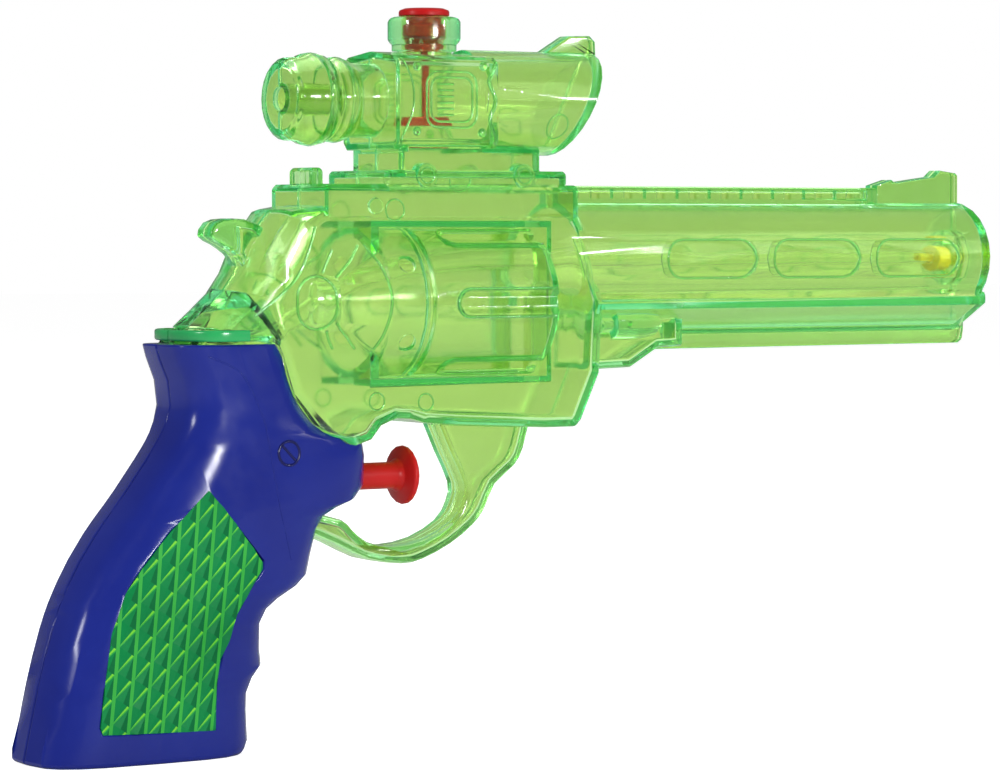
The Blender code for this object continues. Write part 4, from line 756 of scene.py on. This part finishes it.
def check_relief(depth, side):
    """Open skin of pyramids between crossing grooves, at a depth across Y for each place."""
    bm = bmesh.new()

    def corner(a, b, rise=0.0):
        x, h = check_place(a, b)
        return bm.verts.new(spot(x, side * (depth(x, h) + CHECK_LIFT + rise), h))

    def face(look, *corners):
        bm.faces.new(corners).material_index = PAD_LOOKS.index(look)

    left, right, low, high = CHECK_BAR, 1 - CHECK_BAR, CHECK_LINE, 1 - CHECK_LINE
    for a, b in check_grid():
        base = [corner(a + i, b + j) for i, j in ((left, low), (right, low), (right, high), (left, high))]
        rim = [corner(a + i, b + j) for i, j in ((0, 0), (1, 0), (1, 1), (0, 1))]
        tip = corner(a + 0.5, b + 0.5, CHECK_RISE)
        wedge = corner(a + right + (0.5 - right) * CHECK_WEDGE, b + low + (0.5 - low) * CHECK_WEDGE,
                       CHECK_RISE * CHECK_WEDGE)
        # Facets of one green: the right facet is painted darker as painted shade, and the wedge and the
        # grooves are painted lighter as painted highlights
        face("pad_wedge_painted_highlight", base[0], base[1], wedge)
        face("pad_green", base[0], wedge, tip)
        face("pad_facet_painted_shade", base[1], base[2], tip, wedge)
        face("pad_green", base[2], base[3], tip)
        face("pad_green", base[3], base[0], tip)
        for k in range(4):
            face("pad_groove_painted_highlight", rim[k], rim[(k + 1) % 4], base[(k + 1) % 4], base[k])
    bmesh.ops.remove_doubles(bm, verts=bm.verts, dist=CHECK_WELD)
    bmesh.ops.recalc_face_normals(bm, faces=bm.faces)
    return bm


def thicken(bm, depth):
    """Closed solid from an open skin, which is moved across Y by a depth."""
    grown = bmesh.ops.extrude_face_region(bm, geom=bm.faces[:])
    moved = [v for v in grown["geom"] if isinstance(v, bmesh.types.BMVert)]
    bmesh.ops.translate(bm, vec=(0.0, depth * MM, 0.0), verts=moved)
    bmesh.ops.recalc_face_normals(bm, faces=bm.faces)


def window_cutter(side):
    """Solid on the window's outline, through the pad."""
    bm = bmesh.new()
    bm.faces.new([bm.verts.new(spot(x, side * CUTTER_Y, h)) for x, h in WINDOW])
    thicken(bm, side * CUTTER_DEPTH)
    return bm


def helper_object(name, bm, looks):
    """Object that is removed again."""
    mesh = bpy.data.meshes.new(name)
    for look in looks:
        mesh.materials.append(look)
    bm.to_mesh(mesh)
    bm.free()
    return placed(name, mesh)


def checkered_pad(name, node, side, looks):
    """Slab of pyramids, cut to the window's outline."""
    relief = check_relief(pad_surface(surface(node), side), side)
    thicken(relief, -side * CHECK_THICK)
    slab = helper_object(name + "_slab", relief, looks)
    cutter = helper_object(name + "_cutter", window_cutter(side), looks[:1])
    trim = slab.modifiers.new("trim", "BOOLEAN")
    trim.operation = "INTERSECT"
    trim.solver = "EXACT"
    trim.object = cutter
    mesh = final_mesh(slab)
    bpy.data.objects.remove(cutter)
    dressed(name, mesh, looks, node)


def add_details(looks):
    """Moulded detail of both sides."""
    reliefs = {
        "block_relief_": (block_lines(), BLOCK_LINE_R),
        "pin_relief_": (pin_lines(), PIN_LINE_R),
        "hub_relief_": (hub_lines(), HUB_LINE_R),
        "slot_rims_": (slot_lines(), SLOT_RIM_R),
        "flute_rims_": (flute_lines(), FLUTE_RIM_R),
        "block_wave_": ([curve_through(WAVE_EDGE, BLOCK_CUTS)], WAVE_R),
    }
    creases = [curve_through(line, LINE_CUTS) for line in (PALM_CREASE, BACK_CREASE)]
    pads = [looks[name] for name in PAD_LOOKS]
    for word, side in SIDES.items():
        body, cover = "body_" + word, "grip_cover_" + word
        for name, (lines, radius) in reliefs.items():
            moulded_lines(name + word, body, side, lines, radius, looks["relief_green"])
        rivets("block_rivets_" + word, body, side, looks["relief_green"])
        tang_lip("tang_lip_" + word, body, side, looks["edge_green"])
        # The screw's ring and slot are painted darker blue, a painted shade
        moulded_lines("screw_relief_" + word, cover, side, screw_lines(), SCREW_LINE_R, looks["screw_painted_shade_blue"])
        moulded_lines("palm_crease_" + word, cover, side, creases, CREASE_R, looks["gloss_blue"])
        checkered_pad("checkered_pad_" + word, body, side, pads)


# Studio

def area_light(name, direction, distance, size, power, mirrored):
    """Oval softbox along a direction from the part; gloss may mirror it or not."""
    place = AIM + Vector(direction).normalized() * distance
    data = bpy.data.lights.new(name, "AREA")
    data.shape = "ELLIPSE"
    data.size, data.size_y = size
    data.energy = power
    made = placed(name, data)
    made.location = place
    made.rotation_mode = "QUATERNION"
    made.rotation_quaternion = (AIM - place).to_track_quat("-Z", "Y")
    made.visible_glossy = mirrored


def met_as_white(tree, path):
    """One for what the camera sees, also through clear plastic, and for light that has bounced often."""
    return largest(tree, path.outputs["Is Camera Ray"], path.outputs["Is Transmission Ray"],
                   deeper(tree, path, WHITE_DEPTH))


def make_world():
    """White surroundings for what is seen, and softer ones for light and mirroring."""
    world = bpy.data.worlds.new("studio")
    bpy.context.scene.world = world
    world.use_nodes = True
    tree = world.node_tree
    tree.nodes.clear()
    output = tree.nodes.new("ShaderNodeOutputWorld")
    path = tree.nodes.new("ShaderNodeLightPath")
    light = tree.nodes.new("ShaderNodeBackground")
    light.inputs["Color"].default_value = (1.0, 1.0, 1.0, 1.0)
    soft = spread(tree, path.outputs["Is Glossy Ray"], *SURROUND, 0.0, 1.0)
    tree.links.new(largest(tree, soft, met_as_white(tree, path)), light.inputs["Strength"])
    tree.links.new(light.outputs["Background"], output.inputs["Surface"])


def make_floor():
    """Pale floor that looks white where no shadow falls."""
    bm = bmesh.new()
    bmesh.ops.create_grid(bm, x_segments=2, y_segments=2, size=FLOOR_HALF)
    mesh = bpy.data.meshes.new("floor")
    bm.to_mesh(mesh)
    bm.free()
    floor = placed("floor", mesh)
    made, tree, output = new_material("floor")
    shader = principled(tree, {"Roughness": FLOOR_ROUGH, "Emission Color": (1.0, 1.0, 1.0, 1.0)})
    path = tree.nodes.new("ShaderNodeLightPath")
    pale = shade(tree, path.outputs["Is Glossy Ray"], FLOOR_GREY, FLOOR_MIRRORED)
    tree.links.new(pale, shader.inputs["Base Color"])
    glow = spread(tree, met_as_white(tree, path), 0.0, FLOOR_GLOW, 0.0, 1.0)
    tree.links.new(glow, shader.inputs["Emission Strength"])
    tree.links.new(shader.outputs["BSDF"], output.inputs["Surface"])
    mesh.materials.append(made)


def make_camera():
    """Camera in the photograph's place."""
    data = bpy.data.cameras.new("camera")
    data.lens = LENS
    data.sensor_width = SENSOR
    made = placed("camera", data)
    flat = math.cos(CAMERA_RISE)
    back = Vector((math.sin(CAMERA_TURN) * flat, -math.cos(CAMERA_TURN) * flat, math.sin(CAMERA_RISE)))
    made.location = AIM + back * CAMERA_DISTANCE
    made.rotation_mode = "QUATERNION"
    made.rotation_quaternion = (-back).to_track_quat("-Z", "Y")
    bpy.context.scene.camera = made


def make_lights():
    """All softboxes."""
    for name, values in LIGHTS.items():
        area_light(name, *values)


bpy.context.scene.view_settings.view_transform = "Standard"
LOOKS = make_materials()
dress_nodes(LOOKS)
add_details(LOOKS)
make_world()
make_floor()
make_lights()
make_camera()
